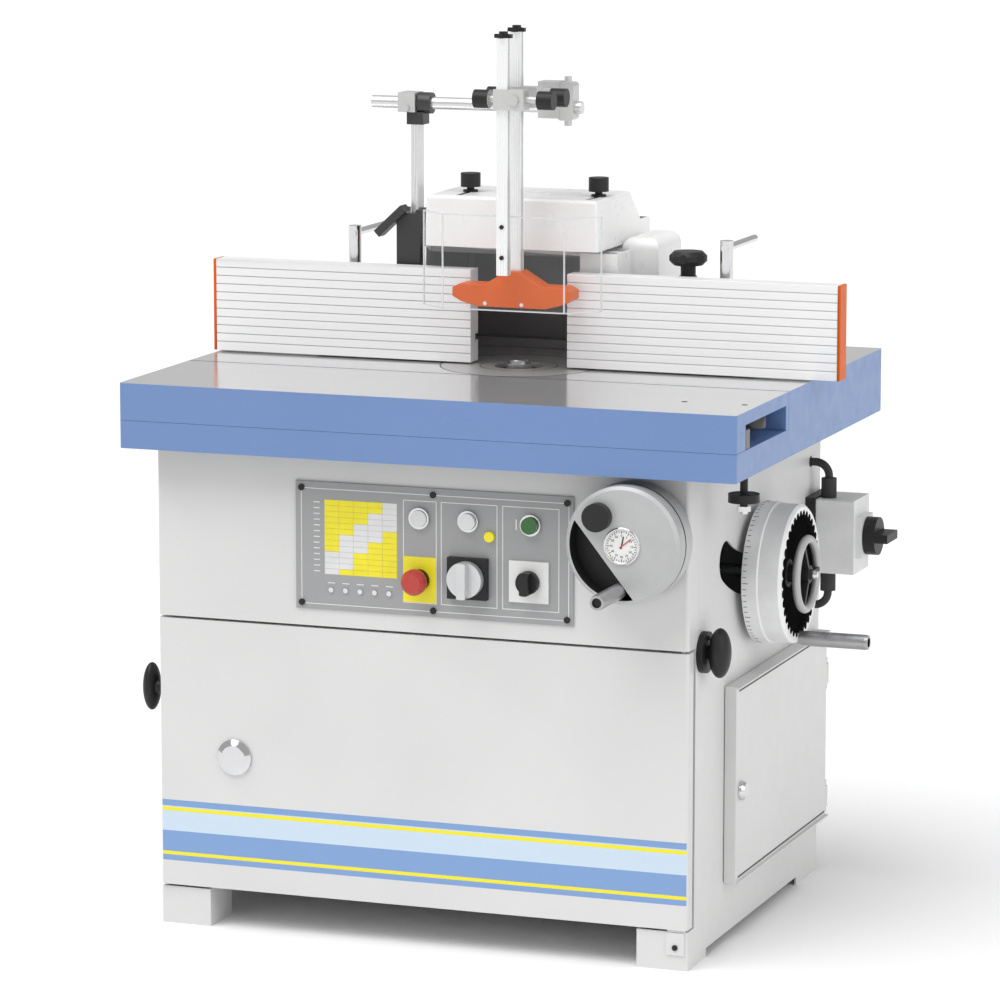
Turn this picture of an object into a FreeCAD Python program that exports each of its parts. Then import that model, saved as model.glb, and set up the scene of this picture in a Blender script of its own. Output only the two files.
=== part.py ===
import FreeCAD, Part
import os
import re
import Sketcher

# A tilting spindle moulder: cabinet, cast table with a sliding front table, a spindle that lifts and
# tilts, a fence with dust hood, and a guard on an arm. X runs along the table, Y to its back, Z up.
# Every place is measured from the spindle's axis at rest, on the floor; axis_x and axis_y then put
# the floor point under the middle of the whole machine at the origin. Lengths in mm, angles in degrees.
SIZES = {
    # place of the spindle's axis, gaps, sheet
    "axis_left": 21.0, "axis_y": 55.5, "overrun": 5.0, "run_gap": 0.3, "shaft_gap": 0.05, "sheet": 3.0,
    "fold_radius": 6.0,
    # main table
    "table_left": 515.0, "table_right": 485.0, "table_front": 395.0, "table_rear": 395.0,
    "table_top": 870.0, "table_thickness": 102.0, "table_plate": 30.0, "table_rim": 15.0,
    "table_corner": 5.0, "ledge_plate": 12.0, "ledge_gap": 0.5, "slide_seam": 1.0, "step_wall": 15.0,
    "seat_left_out": 485.0, "seat_left_in": 455.0, "seat_right_in": 370.0, "seat_right_out": 400.0,
    "rib_in": 172.0, "lock_width": 35.0, "rib_out": 195.0, "rear_rib_front": 330.0,
    "rear_rib_back": 362.0, "front_rib_front": 340.0, "front_rib_back": 300.0, "hole_radius": 115.0,
    "ring_seat_radius": 125.0, "ring_thickness": 8.0, "ring_step": 4.0, "middle_radius": 61.5,
    "lip_width": 7.0, "ring_bore": 39.5,
    # sliding table
    "ring_land": 3.0, "slide_thickness": 58.0, "slide_front_wall": 46.0, "slide_rear_wall": 14.0,
    "slide_plate": 20.0, "clamp_hole_radius": 5.0, "clamp_hole_left": 368.0, "clamp_hole_right": 463.0,
    "clamp_hole_front": 283.0, "rail_inset": 10.0, "rail_front": 345.0, "rail_back": 325.0,
    "rail_rise": 30.0, "roller_radius": 20.0, "roller_foot": 6.0, "roller_face": 22.0, "roller_pin": 6.0,
    "roller_reach": 182.0, "load_wheel_radius": 18.0, "load_wheel_front": 200.0, "load_wheel_back": 170.0,
    # cabinet
    "cab_left": 479.0, "cab_right": 394.0, "cab_front": 335.0, "cab_rear": 356.0, "wall_front": 300.0,
    "skirt_gap": 14.0, "base_level": 60.0, "toe_front": 331.0, "side_gap_front": 239.0,
    "side_gap_rear": 243.0, "foot_width": 79.0, "foot_depth": 84.0, "foot_wall": 4.0, "foot_floor": 6.0,
    "anchor_radius": 7.0, "post_width": 36.0, "vent_width": 180.0, "vent_height": 6.0, "vent_pitch": 18.0,
    "vent_count": 6.0,
    # front door, its pivots and its latch
    "door_low": 64.0, "door_depth": 25.0, "door_pivot": 12.5, "pivot_radius": 4.0, "pivot_reach": 12.0,
    "bracket_size": 30.0, "latch_left": 351.0, "latch_z": 278.0, "latch_radius": 28.5, "latch_dome": 9.0,
    "latch_rim": 4.0, "latch_stem": 8.0, "latch_cam": 24.0, "latch_cam_half": 8.0, "latch_cam_sheet": 5.0,
    # electrical door, hinges, tray
    "box_front": 155.0, "box_rear": 338.0, "box_low": 97.0, "wheel_room": 44.0, "box_face": 414.0,
    "box_gap": 1.0, "lip_reach": 6.0, "hinge_x": 408.0, "hinge_y": 346.0, "hinge_pin": 4.0,
    "knuckle_radius": 7.0, "hinge_low": 112.0, "hinge_drop": 91.0, "knuckle_height": 34.0,
    "lug_height": 9.0, "box_latch_front": 130.0, "box_latch_z": 241.0, "box_latch_radius": 15.0,
    "open_front": 130.0, "open_rear": 320.0, "open_low": 122.0, "open_lap": 21.0, "tray_lap": 5.0,
    "tray_depth": 111.0, "tray_sheet": 2.0, "unit_width": 70.0, "unit_height": 85.0, "unit_depth": 70.0,
    "unit_pitch": 95.0, "unit_count": 4.0, "unit_drop": 118.0, "unit_front": 95.0, "strip_low": 160.0,
    "strip_height": 45.0, "strip_depth": 40.0,
    # control plate and its fittings
    "plate_left": 244.0, "plate_right": 211.0, "screw_inset": 10.0, "screw_radius": 5.0,
    "screw_head": 2.5, "field_half": 27.0, "field_tall": 35.5, "field_sheet": 1.0, "collar_radius": 16.5,
    "collar_depth": 7.0, "estop_left": 39.0, "estop_radius": 20.0, "estop_stem": 11.0,
    "estop_reach": 20.0, "estop_tail": 6.0, "estop_head": 18.0, "estop_dome": 14.0, "push_radius": 13.0,
    "push_depth": 6.0, "lamp_left": 38.0, "feed_x": 42.0, "start_x": 143.0, "switch_x": 42.0,
    "choice_x": 140.0, "switch_half": 32.0, "switch_deep": 12.0, "switch_radius": 28.0,
    "switch_disc": 12.0, "bar_half": 7.0, "bar_rise": 14.0, "choice_half": 32.0, "choice_deep": 4.0,
    "choice_radius": 18.0, "choice_disc": 10.0, "key_x": 76.0, "key_radius": 8.0, "key_deep": 6.0,
    "led_left": 185.0, "led_pitch": 24.0, "led_count": 5.0, "led_radius": 4.0, "led_rise": 2.5,
    # tilt handwheel
    "tilt_x": 313.0, "wheel_gap": 12.0, "tilt_radius": 90.0, "tilt_depth": 65.0, "tilt_groove": 4.0,
    "tilt_band": 30.0, "tilt_bevel": 5.0, "wheel_bore": 10.0, "dial_radius": 29.0, "dial_recess": 4.0,
    "dial_rise": 1.5, "window_radius": 83.0, "window_chord": 36.5, "window_deep": 32.0,
    "window_angle": 128.5, "tilt_pin_side": 83.0, "tilt_pin_under": 20.0, "grip_pin": 5.0,
    "grip_radius": 12.0, "grip_waist": 11.0, "grip_dimple": 7.5, "dimple_deep": 4.0,
    "swell_share": 0.12, "fall_share": 0.96, "tilt_grip": 126.0,
    "tilt_knob_side": 53.0, "tilt_knob_over": 47.0, "knob_radius": 21.5, "knob_depth": 16.0,
    "gearbox_front": 125.0, "gearbox_rear": 60.0, "gearbox_half": 35.0, "gearbox_right": 345.0,
    "shaft_end": 100.0, "shaft_hole": 14.0,
    # height handwheel
    "height_radius": 111.0, "height_depth": 62.0, "height_band": 24.0, "height_step": 2.0,
    "height_bevel": 4.0, "cup_radius": 101.0, "cup_mouth": 93.0, "cup_floor": 10.0, "cup_lip": 8.0,
    "cup_slope": 12.0, "hub_radius": 22.0, "hub_depth": 44.0, "scallop_radius": 6.8,
    "scallop_count": 36.0, "height_pin_inset": 9.0, "height_grip": 112.0, "stub_radius": 6.0,
    "stub_reach": 26.0, "lock_radius": 55.0, "lock_wire": 6.5, "lock_middle": 72.0, "spoke_half": 6.0,
    "lock_hub": 14.0, "lock_hub_depth": 34.0, "acorn_radius": 9.0, "acorn_height": 12.0,
    "spoke_count": 3.0,
    # arc slot, tilt and trunnions
    "tilt_max": 30.0, "slot_half": 32.0, "arc_inner": 160.0, "arc_outer": 190.0, "arc_rest": 15.0,
    "arc_span": 60.0, "ledge_outer": 212.0, "ledge_span": 70.0, "cheek_in": 130.0, "cheek_out": 150.0,
    "arc_face": 170.0, "side_gap": 2.0, "plate_out": 190.0, "bracket_half": 140.0,
    # tilt frame
    "cheek_front": 75.0, "cheek_rear": 85.0, "ear_front": 40.0, "ear_height": 57.0, "front_sheet": 15.0,
    "column_x": 90.0, "column_y": 60.0, "column_radius": 14.0, "yoke_in": 68.0, "yoke_height": 15.0,
    "foot_height": 25.0, "lift_box_in": 60.0, "lift_box_half": 27.0, "shaft_in": 98.0, "screw_x": 80.0,
    "lift_screw_radius": 9.0,
    # spindle carriage
    "housing_radius": 43.0, "neck_radius": 40.0, "core_radius": 24.0, "bearing_radius": 38.0,
    "bearing_height": 25.0, "block_half": 112.0, "block_front": 35.0, "block_rear": 125.0, "arm_in": 80.0,
    "arm_out": 100.0, "arm_front": 97.0, "motor_plate": 12.0, "motor_plate_rear": 290.0, "nut_in": 36.0,
    "nut_out": 100.0, "nut_half": 20.0, "motor_y": 200.0, "motor_hole": 30.0, "motor_radius": 85.0,
    "flange_radius": 92.0, "flange_height": 12.0, "fan_radius": 80.0, "fan_height": 45.0,
    "term_half": 35.0, "term_rear": 325.0,
    # spindle, pulleys, belt
    "spindle_radius": 20.0, "nose_radius": 26.0, "arbor_radius": 15.0, "arbor_bevel": 2.0,
    "spacer_radius": 25.0, "spacer_height": 30.0, "washer_height": 8.0, "nut_height": 16.0,
    "nut_corner": 22.0, "hex_sides": 6.0, "pulley_flange": 4.0, "flange_rise": 5.0,
    "spindle_pulley": 45.0, "motor_pulley": 70.0, "rotor_radius": 14.0, "belt_thickness": 4.0,
    # side knobs, table lock
    "knob_front": 268.0, "left_knob_front": 262.0, "cup_flange": 32.0, "cup_thickness": 10.0,
    "stem_radius": 10.0, "right_stem": 8.0, "left_stem": 22.0, "oval_half": 18.5, "oval_radius": 20.0,
    "oval_depth": 27.0, "oval_round": 9.0, "cup_screw": 3.5, "cup_screw_circle": 22.0,
    "cup_screw_count": 3.0, "table_knob_x": 455.0, "table_knob_front": 258.0, "table_knob_radius": 24.0,
    "table_stud": 6.0, "table_nut_corner": 11.0,
    # isolator
    "iso_front": 272.0, "iso_rear": 368.0, "iso_base": 17.0, "iso_inset": 3.0, "iso_depth": 64.0,
    "iso_y": 320.0, "iso_half": 33.0, "iso_plate": 10.0, "iso_radius": 31.0, "iso_disc": 20.0,
    "iso_bar": 22.0, "gland_x": 425.0, "gland_y": 302.0, "gland_radius": 12.5, "gland_height": 32.0,
    "cable_radius": 6.5, "cable_bend": 22.0, "cable_straight": 3.0, "cable_inside": 14.0,
    "cable_hole": 9.0,
    # fence
    "fence_face": 16.0, "fence_thickness": 34.0, "fence_lift": 3.0, "fence_height": 148.0,
    "left_inner": 76.0, "left_outer": 514.0, "right_inner": 86.0, "right_outer": 528.0, "cap": 5.0,
    "groove": 1.6, "groove_pitch": 13.4, "groove_count": 11.0, "tee_neck": 10.0, "tee_head": 18.0,
    "tee_lip": 5.0, "tee_deep": 13.0, "tee_first": 38.0, "tee_pitch": 72.0, "tee_count": 2.0,
    "bed_left": 352.0, "bed_right": 384.0, "bed_rear": 236.0, "bed_thickness": 14.0, "throat_half": 150.0,
    "throat_rear": 205.0, "upright_sheet": 10.0, "left_upright_out": 284.0, "left_upright_in": 226.0,
    "right_upright_in": 180.0, "right_upright_out": 238.0, "web_half": 5.0, "web_rear": 90.0,
    "clamp_left_out": 301.0, "clamp_right": 326.0, "clamp_y": 55.0, "stud_radius": 8.0, "slot_clear": 0.7,
    "slot_front": 26.0, "slot_rear": 104.0, "collar_clamp": 17.0, "clamp_collar": 12.0,
    "clamp_radius": 10.5, "bar_radius": 6.0, "bar_front": 44.0, "bar_back": 202.0, "boss_x": 263.0,
    "boss_radius": 14.0, "star_stud": 6.0, "star_hub": 12.0, "star_radius": 30.0, "star_bevel": 7.0,
    "star_notch": 9.0, "star_count": 6.0,
    # dust hood
    "chest_left": 172.0, "chest_right": 199.0, "chest_front": 100.0, "chest_rear": 232.0,
    "chest_round": 20.0, "raised_left": 138.0, "chest_wall": 4.0, "cheek_right": 154.0, "port_x": 70.0,
    "shutter_left": 92.0,
    "port_radius": 60.0, "port_wall": 3.0, "port_end": 280.0, "strap_front": 50.0, "strap_rear": 70.0,
    "strap_height": 10.0, "hood_post": 8.0, "cover_left": 157.0, "cover_right": 134.0, "cover_front": 8.0,
    "cover_rear": 250.0, "cover_height": 81.0, "cover_taper": 2.0, "cover_slope": 49.0,
    "skirt_height": 31.0, "skirt_ledge": 41.0, "cover_round": 6.0, "cap_knob_out": 104.0,
    "cap_knob_right": 112.0, "cap_slot_half": 4.5, "cap_slot_front": 6.0, "cap_slot_rear": 66.0,
    "cap_stem": 4.0, "cap_washer": 12.0, "cap_washer_height": 3.0, "cap_neck": 6.0,
    "cap_neck_height": 5.0, "cap_radius": 16.0, "cap_height": 22.0,
    # guard
    "guard_left": 218.0, "guard_right": 178.0, "guard_front": 26.0, "guard_rear": 72.0,
    "guard_cheek": 7.0, "guard_sheet": 3.5, "guard_y": 53.0, "guard_pin": 6.0, "guard_pin_over": 3.0,
    "lever_length": 62.0, "lever_width": 26.0, "lever_height": 13.0, "lever_angle": 43.0,
    "lever_left": 198.0, "lever_wall": 3.0, "post_left": 198.0, "post_right": 186.0, "post_half": 13.0,
    "head_left": 218.0, "head_right": 189.0, "head_half": 20.0, "head_height": 31.0,
    "collar_right": 166.0, "collar_outer": 17.0, "black_left": 205.0, "black_right": 177.0,
    "black_half": 14.0, "crossbar_radius": 10.0, "crossbar_left": 268.0, "crossbar_right": 87.0,
    "cast_left": 50.0, "cast_right": 76.0, "cast_half": 15.0, "cast_round": 6.0, "cast_bolt": 6.0,
    "cast_bolt_rise": 9.0, "arm_clamp_left": 18.0, "arm_clamp_right": 54.0, "arm_clamp_half": 17.0,
    "rod_x": 36.0, "rod_radius": 8.0, "rod_front": 128.0, "rod_rear": 92.0, "block_right": 52.0,
    "block_start": 1.5, "block_half_depth": 14.0, "block_half_height": 16.0, "front_column_out": 110.0,
    "rear_column_out": 50.0, "column_half_x": 9.0, "column_half_y": 8.0, "guard_column_x": 14.0,
    "star_cap": 14.0, "star_arm": 4.0, "star_height": 6.0, "star_dome": 7.0, "grip_knob": 14.5,
    "grip_knob_depth": 25.0, "grip_stem": 6.0, "grip_stem_reach": 9.5, "far_stem_reach": 20.0,
    "shield_x": 10.0, "shield_half": 101.0, "shield_wing_x": 48.0, "shield_wing_y": 41.0,
    "shield_wall": 3.0, "shield_screw": 3.5, "shield_screw_head": 2.0, "shoe_left": 100.0,
    "shoe_right": 97.0, "shoe_keel": 7.0, "shoe_tip": 15.0, "shoe_nose": 12.0, "shoe_flat": 56.0,
    "hump_left": 47.0, "hump_right": 47.0, "hump_half": 10.0, "shoe_front": 72.0, "shoe_rear": 30.0,
}
# Levels above the table's top, counted up from it.
RISES = {
    # spindle, pulleys, belt
    "arbor_high": 10.0,
    # fence
    "upright_top": 138.0, "web_top": 90.0, "clamp_top": 206.0, "bar_z": 194.0, "boss_top": 148.0,
    "star_stud_low": 115.0, "star_low": 165.0, "star_high": 187.0,
    # dust hood
    "chest_top": 180.0, "port_z": 97.0, "cover_low": 186.0, "cap_stem_low": 236.0,
    # guard
    "guard_seat": 185.0, "guard_top": 238.0, "pivot_z": 210.0, "lever_z": 236.0, "post_low": 192.0,
    "post_top": 393.0, "black_low": 373.0, "crossbar_z": 407.0, "cast_low": 387.0, "cast_high": 447.0,
    "rod_z": 431.0, "front_column_low": 157.0, "front_column_top": 526.0, "rear_column_low": 158.0,
    "rear_column_top": 532.0, "shield_low": 99.0, "shield_high": 249.0, "shield_screw_low": 185.0,
    "shield_screw_high": 233.0, "shoe_low": 101.0, "shoe_top": 136.0,
}
# Levels below the table's top, counted down from it.
DROPS = {
    # cabinet
    "vent_low": 310.0, "split_low": 377.0, "split_high": 373.0, "panel_top": 104.0,
    # control plate and its fittings
    "plate_low": 346.0, "plate_high": 146.0, "estop_z": 289.0, "upper_z": 193.0, "lower_z": 281.0,
    "key_z": 215.0, "led_z": 314.0,
    # tilt handwheel
    "tilt_z": 203.0,
    # height handwheel
    "height_z": 306.0,
    # arc slot, tilt and trunnions
    "bracket_low": 215.0,
    # tilt frame
    "cheek_low": 415.0, "cheek_top": 113.0, "front_low": 390.0, "front_high": 180.0,
    "lift_box_low": 336.0, "lift_box_high": 274.0, "lift_screw_low": 288.0, "lift_screw_high": 70.0,
    # spindle carriage
    "housing_low": 390.0, "neck_low": 230.0, "housing_high": 185.0, "block_low": 370.0,
    "block_high": 270.0, "motor_plate_low": 470.0, "nut_low": 245.0, "nut_high": 215.0,
    "motor_low": 730.0, "term_low": 640.0, "term_high": 560.0,
    # spindle, pulleys, belt
    "spindle_low": 465.0, "seat_low": 400.0, "nose_low": 180.0, "nose_high": 135.0, "washer_low": 20.0,
    "pulley_low": 455.0, "pulley_high": 405.0,
    # side knobs, table lock
    "knob_z": 385.0, "left_knob_z": 505.0, "table_knob_low": 152.0, "table_knob_high": 139.0,
    "table_stud_low": 170.0, "table_stud_high": 64.0, "table_nut_low": 166.0, "table_nut_high": 158.0,
    # isolator
    "iso_low": 359.0, "iso_high": 232.0, "iso_z": 297.0,
    # fence
    "stud_low": 22.0,
}
# Places worked out from the sizes.
PLACES = {
    "lock_rib": "seat_right_out + lock_width",
    "cheek_mid": "cheek_top - ear_height",
    "box_high": "height_z - height_radius - wheel_room",
    "open_high": "box_high - open_lap",
    "hinge_high": "box_high - hinge_drop",
    "unit_z": "open_high - unit_drop",
    "chest_high": "chest_top + chest_round",
    "slide_rear": "ring_seat_radius + ring_land",
    "tilt_pin_x": "tilt_pin_side - tilt_radius",
    "tilt_pin_z": "tilt_pin_under - tilt_radius",
    "tilt_knob_x": "tilt_knob_side - tilt_radius",
    "tilt_knob_z": "tilt_radius - tilt_knob_over",
    "height_pin_radius": "height_radius - height_pin_inset",
    "axis_x": "-axis_left",
    "latch_x": "-latch_left",
    "box_latch_y": "-box_latch_front",
    "estop_x": "-estop_left",
    "lamp_x": "-lamp_left",
    "knob_y": "-knob_front",
    "left_knob_y": "-left_knob_front",
    "table_knob_y": "-table_knob_front",
    "clamp_left": "-clamp_left_out",
    "cap_knob_left": "-cap_knob_out",
    "lever_x": "-lever_left",
    "front_column_y": "-front_column_out",
    "rear_column_y": "-rear_column_out",
}

DOC = FreeCAD.newDocument("SpindleMoulder")
SHEET = DOC.addObject("Spreadsheet::Sheet", "Sizes")
NODES = []
WORD = re.compile(r"[a-z][a-z0-9_]*")
ORIGIN = FreeCAD.Vector()
FULL_TURN = 360
TURNS = {
    "x": FreeCAD.Rotation(FreeCAD.Vector(0, 1, 0), 90),
    "y": FreeCAD.Rotation(FreeCAD.Vector(1, 0, 0), -90),
    "z": FreeCAD.Rotation(),
}


def fill_sheet():
    """Put every size in the sheet under its own name."""
    rises = {f"{name}_rise": rise for name, rise in RISES.items()}
    drops = {f"{name}_drop": drop for name, drop in DROPS.items()}
    for row, (name, size) in enumerate((SIZES | rises | drops).items(), 1):
        SHEET.set(f"A{row}", name)
        SHEET.set(f"B{row}", str(size))
        SHEET.setAlias(f"B{row}", name)
    DOC.recompute()


def spelled(text):
    """A formula in the sheet's own names, with levels and worked-out places written out."""
    def written(match):
        word = match.group()
        if word in PLACES:
            return f"({spelled(PLACES[word])})"
        if word in RISES:
            return f"(table_top + {word}_rise)"
        return f"(table_top - {word}_drop)" if word in DROPS else word
    return WORD.sub(written, text)


def formula(text):
    """The text with every size name pointing at the sheet."""
    return WORD.sub(lambda word: "Sizes." + word.group(), spelled(text))


def value(text):
    """The number that a formula comes to now."""
    filled = WORD.sub(lambda word: f"({SHEET.get(word.group())})", spelled(text))
    return FreeCAD.Units.Quantity(filled).Value


def bind(piece, prop, text):
    piece.setExpression(prop, formula(text))


def place(piece, x, y, z):
    """Bind a piece's base point, given from the spindle's axis on the floor."""
    bind(piece, "Placement.Base.x", f"axis_x + ({x})")
    bind(piece, "Placement.Base.y", f"axis_y + ({y})")
    bind(piece, "Placement.Base.z", z)
    return piece


def stand(piece, axis, start, centre):
    """Lay a piece's own Z along an axis, with its base at start."""
    piece.Placement = FreeCAD.Placement(ORIGIN, TURNS[axis])
    at = list(centre)
    at.insert("xyz".index(axis), start)
    return place(piece, *at)


def block(x, y, z):
    """A box between the low and high ends given for each axis."""
    piece = DOC.addObject("Part::Box", "block")
    for prop, (low, high) in zip(("Length", "Width", "Height"), (x, y, z)):
        bind(piece, prop, f"({high}) - ({low})")
    return place(piece, x[0], y[0], z[0])


def about(middle, half):
    """The two ends of a span about its middle."""
    return f"{middle} - ({half})", f"{middle} + {half}"


def rod(radius, axis, span, centre):
    piece = DOC.addObject("Part::Cylinder", "rod")
    bind(piece, "Radius", radius)
    bind(piece, "Height", f"({span[1]}) - ({span[0]})")
    return stand(piece, axis, span[0], centre)


def cone(low_radius, high_radius, axis, span, centre):
    piece = DOC.addObject("Part::Cone", "cone")
    bind(piece, "Radius1", low_radius)
    bind(piece, "Radius2", high_radius)
    bind(piece, "Height", f"({span[1]}) - ({span[0]})")
    return stand(piece, axis, span[0], centre)


def hexagon(corner, axis, span, centre):
    piece = DOC.addObject("Part::Prism", "hexagon")
    bind(piece, "Polygon", "hex_sides")
    bind(piece, "Circumradius", corner)
    bind(piece, "Height", f"({span[1]}) - ({span[0]})")
    return stand(piece, axis, span[0], centre)


def past(span):
    """A cutting span that runs past both ends."""
    return f"{span[0]} - overrun", f"{span[1]} + overrun"


def fuse(*pieces):
    piece = DOC.addObject("Part::MultiFuse", "fused")
    piece.Shapes = list(pieces)
    piece.Refine = True
    return piece


def cut(base, *tools):
    piece = DOC.addObject("Part::Cut", "cut")
    piece.Base = base
    piece.Tool = tools[0] if len(tools) == 1 else fuse(*tools)
    return piece


def common(first, second):
    piece = DOC.addObject("Part::Common", "common")
    piece.Base = first
    piece.Tool = second
    return piece


def group(*pieces):
    """Separate solids that share one node."""
    piece = DOC.addObject("Part::Compound", "group")
    piece.Links = list(pieces)
    return piece


def tube(outer, inner, axis, span, centre):
    return cut(rod(outer, axis, span, centre), rod(inner, axis, past(span), centre))


def sector(inner, outer, span, first, sweep):
    """A ring's sector about the tilt axis, its angles counted from straight down towards the back."""
    pieces = []
    for radius in (outer, inner):
        piece = rod(radius, "x", span if radius == outer else past(span), ("0", "table_top"))
        turn = FreeCAD.Rotation(FreeCAD.Vector(1, 0, 0), value(first))
        piece.Placement.Rotation = turn * TURNS["x"]
        if radius == outer:
            bind(piece, "Angle", sweep)
        pieces.append(piece)
    return cut(*pieces)


def rounded(base, radius, wanted):
    """Round the edges of a finished piece that the wanted test picks."""
    DOC.recompute()
    size = value(radius)
    edges = [i for i, edge in enumerate(base.Shape.Edges, 1) if wanted(edge)]
    piece = DOC.addObject("Part::Fillet", "rounded")
    piece.Base = base
    piece.Edges = [(i, size, size) for i in edges]
    return piece


def along(edge, axis):
    """Whether an edge is straight and runs along an axis."""
    if not isinstance(edge.Curve, Part.Line):
        return False
    return abs(abs(edge.Curve.Direction.dot(axis)) - 1) < edge.Tolerance


def upright(edge):
    return along(edge, FreeCAD.Vector(0, 0, 1))


def new_body(name):
    return DOC.addObject("PartDesign::Body", name)


def new_sketch(body, role):
    sketch = body.newObject("Sketcher::SketchObject", "sketch")
    plane = [one for one in body.Origin.OriginFeatures if one.Role == role][0]
    sketch.AttachmentSupport = (plane, [""])
    sketch.MapMode = "FlatFace"
    return sketch


def fix(sketch, kind, edge, text):
    """Hold the start of an edge at a bound distance from the sketch's origin."""
    index = sketch.addConstraint(Sketcher.Constraint(kind, -1, 1, edge, 1, value(text)))
    bind(sketch, f"Constraints[{index}]", text)


def outline(body, role, points):
    """A closed sketch of straight edges through bound points."""
    sketch = new_sketch(body, role)
    spots = [FreeCAD.Vector(value(a), value(b), 0) for a, b in points]
    following = spots[1:] + spots[:1]
    for first, second in zip(spots, following):
        sketch.addGeometry(Part.LineSegment(first, second))
    for edge in range(len(spots)):
        sketch.addConstraint(Sketcher.Constraint("Coincident", edge, 2, (edge + 1) % len(spots), 1))
    for edge, (a, b) in enumerate(points):
        fix(sketch, "DistanceX", edge, a)
        fix(sketch, "DistanceY", edge, b)
    return sketch


def ring_sketch(body, role, centre, radius):
    """A sketch of one circle, held at a bound centre."""
    sketch = new_sketch(body, role)
    middle = FreeCAD.Vector(value(centre[0]), value(centre[1]), 0)
    sketch.addGeometry(Part.Circle(middle, FreeCAD.Vector(0, 0, 1), value(radius)))
    for kind, text in (("DistanceX", centre[0]), ("DistanceY", centre[1])):
        index = sketch.addConstraint(Sketcher.Constraint(kind, -1, 1, 0, 3, value(text)))
        bind(sketch, f"Constraints[{index}]", text)
    index = sketch.addConstraint(Sketcher.Constraint("Radius", 0, value(radius)))
    bind(sketch, f"Constraints[{index}]", radius)
    return sketch


def pad(body, sketch, length, back=False):
    feature = body.newObject("PartDesign::Pad", "pad")
    feature.Profile = sketch
    feature.Reversed = back
    bind(feature, "Length", length)
    return feature


def pocket(body, sketch, length, back=False):
    feature = body.newObject("PartDesign::Pocket", "pocket")
    feature.Profile = sketch
    feature.Reversed = back
    bind(feature, "Length", length)
    return feature


def polar(body, feature, sketch, count):
    pattern = body.newObject("PartDesign::PolarPattern", "polar")
    pattern.Originals = [feature]
    pattern.Axis = (sketch, ["N_Axis"])
    pattern.Angle = FULL_TURN
    bind(pattern, "Occurrences", count)
    body.Tip = pattern
    return pattern


def linear(body, feature, sketch, axis, length, count):
    pattern = body.newObject("PartDesign::LinearPattern", "row")
    pattern.Originals = [feature]
    pattern.Direction = (sketch, [axis])
    bind(pattern, "Length", length)
    bind(pattern, "Occurrences", count)
    body.Tip = pattern
    return pattern


def turned_body(points):
    """A body turned from (radius, height) points about its own Z."""
    body = new_body("turned")
    sketch = outline(body, "XZ_Plane", points)
    feature = body.newObject("PartDesign::Revolution", "turn")
    feature.Profile = sketch
    feature.ReferenceAxis = (sketch, ["V_Axis"])
    feature.Angle = FULL_TURN
    return body


def turned(points, axis, start, centre):
    return stand(turned_body(points), axis, start, centre)


def node(label, piece):
    piece.Label = label
    NODES.append(piece)
    return piece


# the table


def pocket_rows():
    """The hollows under the table, between its ribs: spans along X, then Y, with their ceilings."""
    deep = "table_top - table_plate"
    low = "table_top - slide_thickness - ledge_gap - ledge_plate"
    left = ("-(table_left - table_rim)", "-seat_left_out")
    right = ("seat_right_out", "table_right - table_rim")
    lock = ("seat_right_out", "lock_rib")
    wide = [("-seat_left_in", "-rib_out"), ("-rib_in", "rib_in"), ("rib_out", "seat_right_in")]
    main = ("-(slide_rear - slide_seam - step_wall)", "rear_rib_front")
    last = ("rear_rib_back", "table_rear - table_rim")
    first = ("-(table_front - table_rim)", "-front_rib_front")
    middle = ("-front_rib_back", "-(slide_rear + step_wall)")
    rear = [(x, y, deep) for x in [left, right] + wide for y in (main, last)]
    front = [(x, y, low) for x in [left, lock] + wide for y in (first, middle)]
    return rear + front


def main_table():
    low = "table_top - table_thickness"
    whole = block(("-table_left", "table_right"), ("-table_front", "table_rear"), (low, "table_top"))
    corners = rounded(whole, "table_corner", upright)
    step = block(
        ("-table_left - overrun", "table_right + overrun"),
        ("-table_front - overrun", "-slide_rear + slide_seam"),
        ("table_top - slide_thickness - ledge_gap", "table_top + overrun"),
    )
    hollows = [block(x, y, (f"{low} - overrun", high)) for x, y, high in pocket_rows()]
    hole = rod("hole_radius", "z", past(("table_top - table_plate", "table_top")), ("0", "0"))
    seat = rod("ring_seat_radius", "z", ("table_top - ring_thickness", "table_top + overrun"), ("0", "0"))
    studs = [
        rod("stud_radius + run_gap", "z", ("table_top - table_plate - overrun", "table_top + overrun"),
            (x, "clamp_y"))
        for x in ("clamp_left", "clamp_right")
    ]
    lock = rod("table_stud + run_gap", "z", (f"{low} - overrun", "table_stud_high + run_gap"),
               ("table_knob_x", "table_knob_y"))
    node("main_table", cut(corners, step, *hollows, hole, seat, *studs, lock))


def table_rings():
    outer = turned([
        ("middle_radius + run_gap - lip_width", "0"),
        ("ring_seat_radius - run_gap", "0"),
        ("ring_seat_radius - run_gap", "ring_thickness"),
        ("middle_radius + run_gap", "ring_thickness"),
        ("middle_radius + run_gap", "ring_step"),
        ("middle_radius + run_gap - lip_width", "ring_step"),
    ], "z", "table_top - ring_thickness", ("0", "0"))
    inner = turned([
        ("ring_bore", "0"),
        ("middle_radius - lip_width", "0"),
        ("middle_radius - lip_width", "ring_step"),
        ("middle_radius", "ring_step"),
        ("middle_radius", "ring_thickness"),
        ("ring_bore", "ring_thickness"),
    ], "z", "table_top - ring_thickness", ("0", "0"))
    node("table_rings", group(outer, inner))


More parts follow.
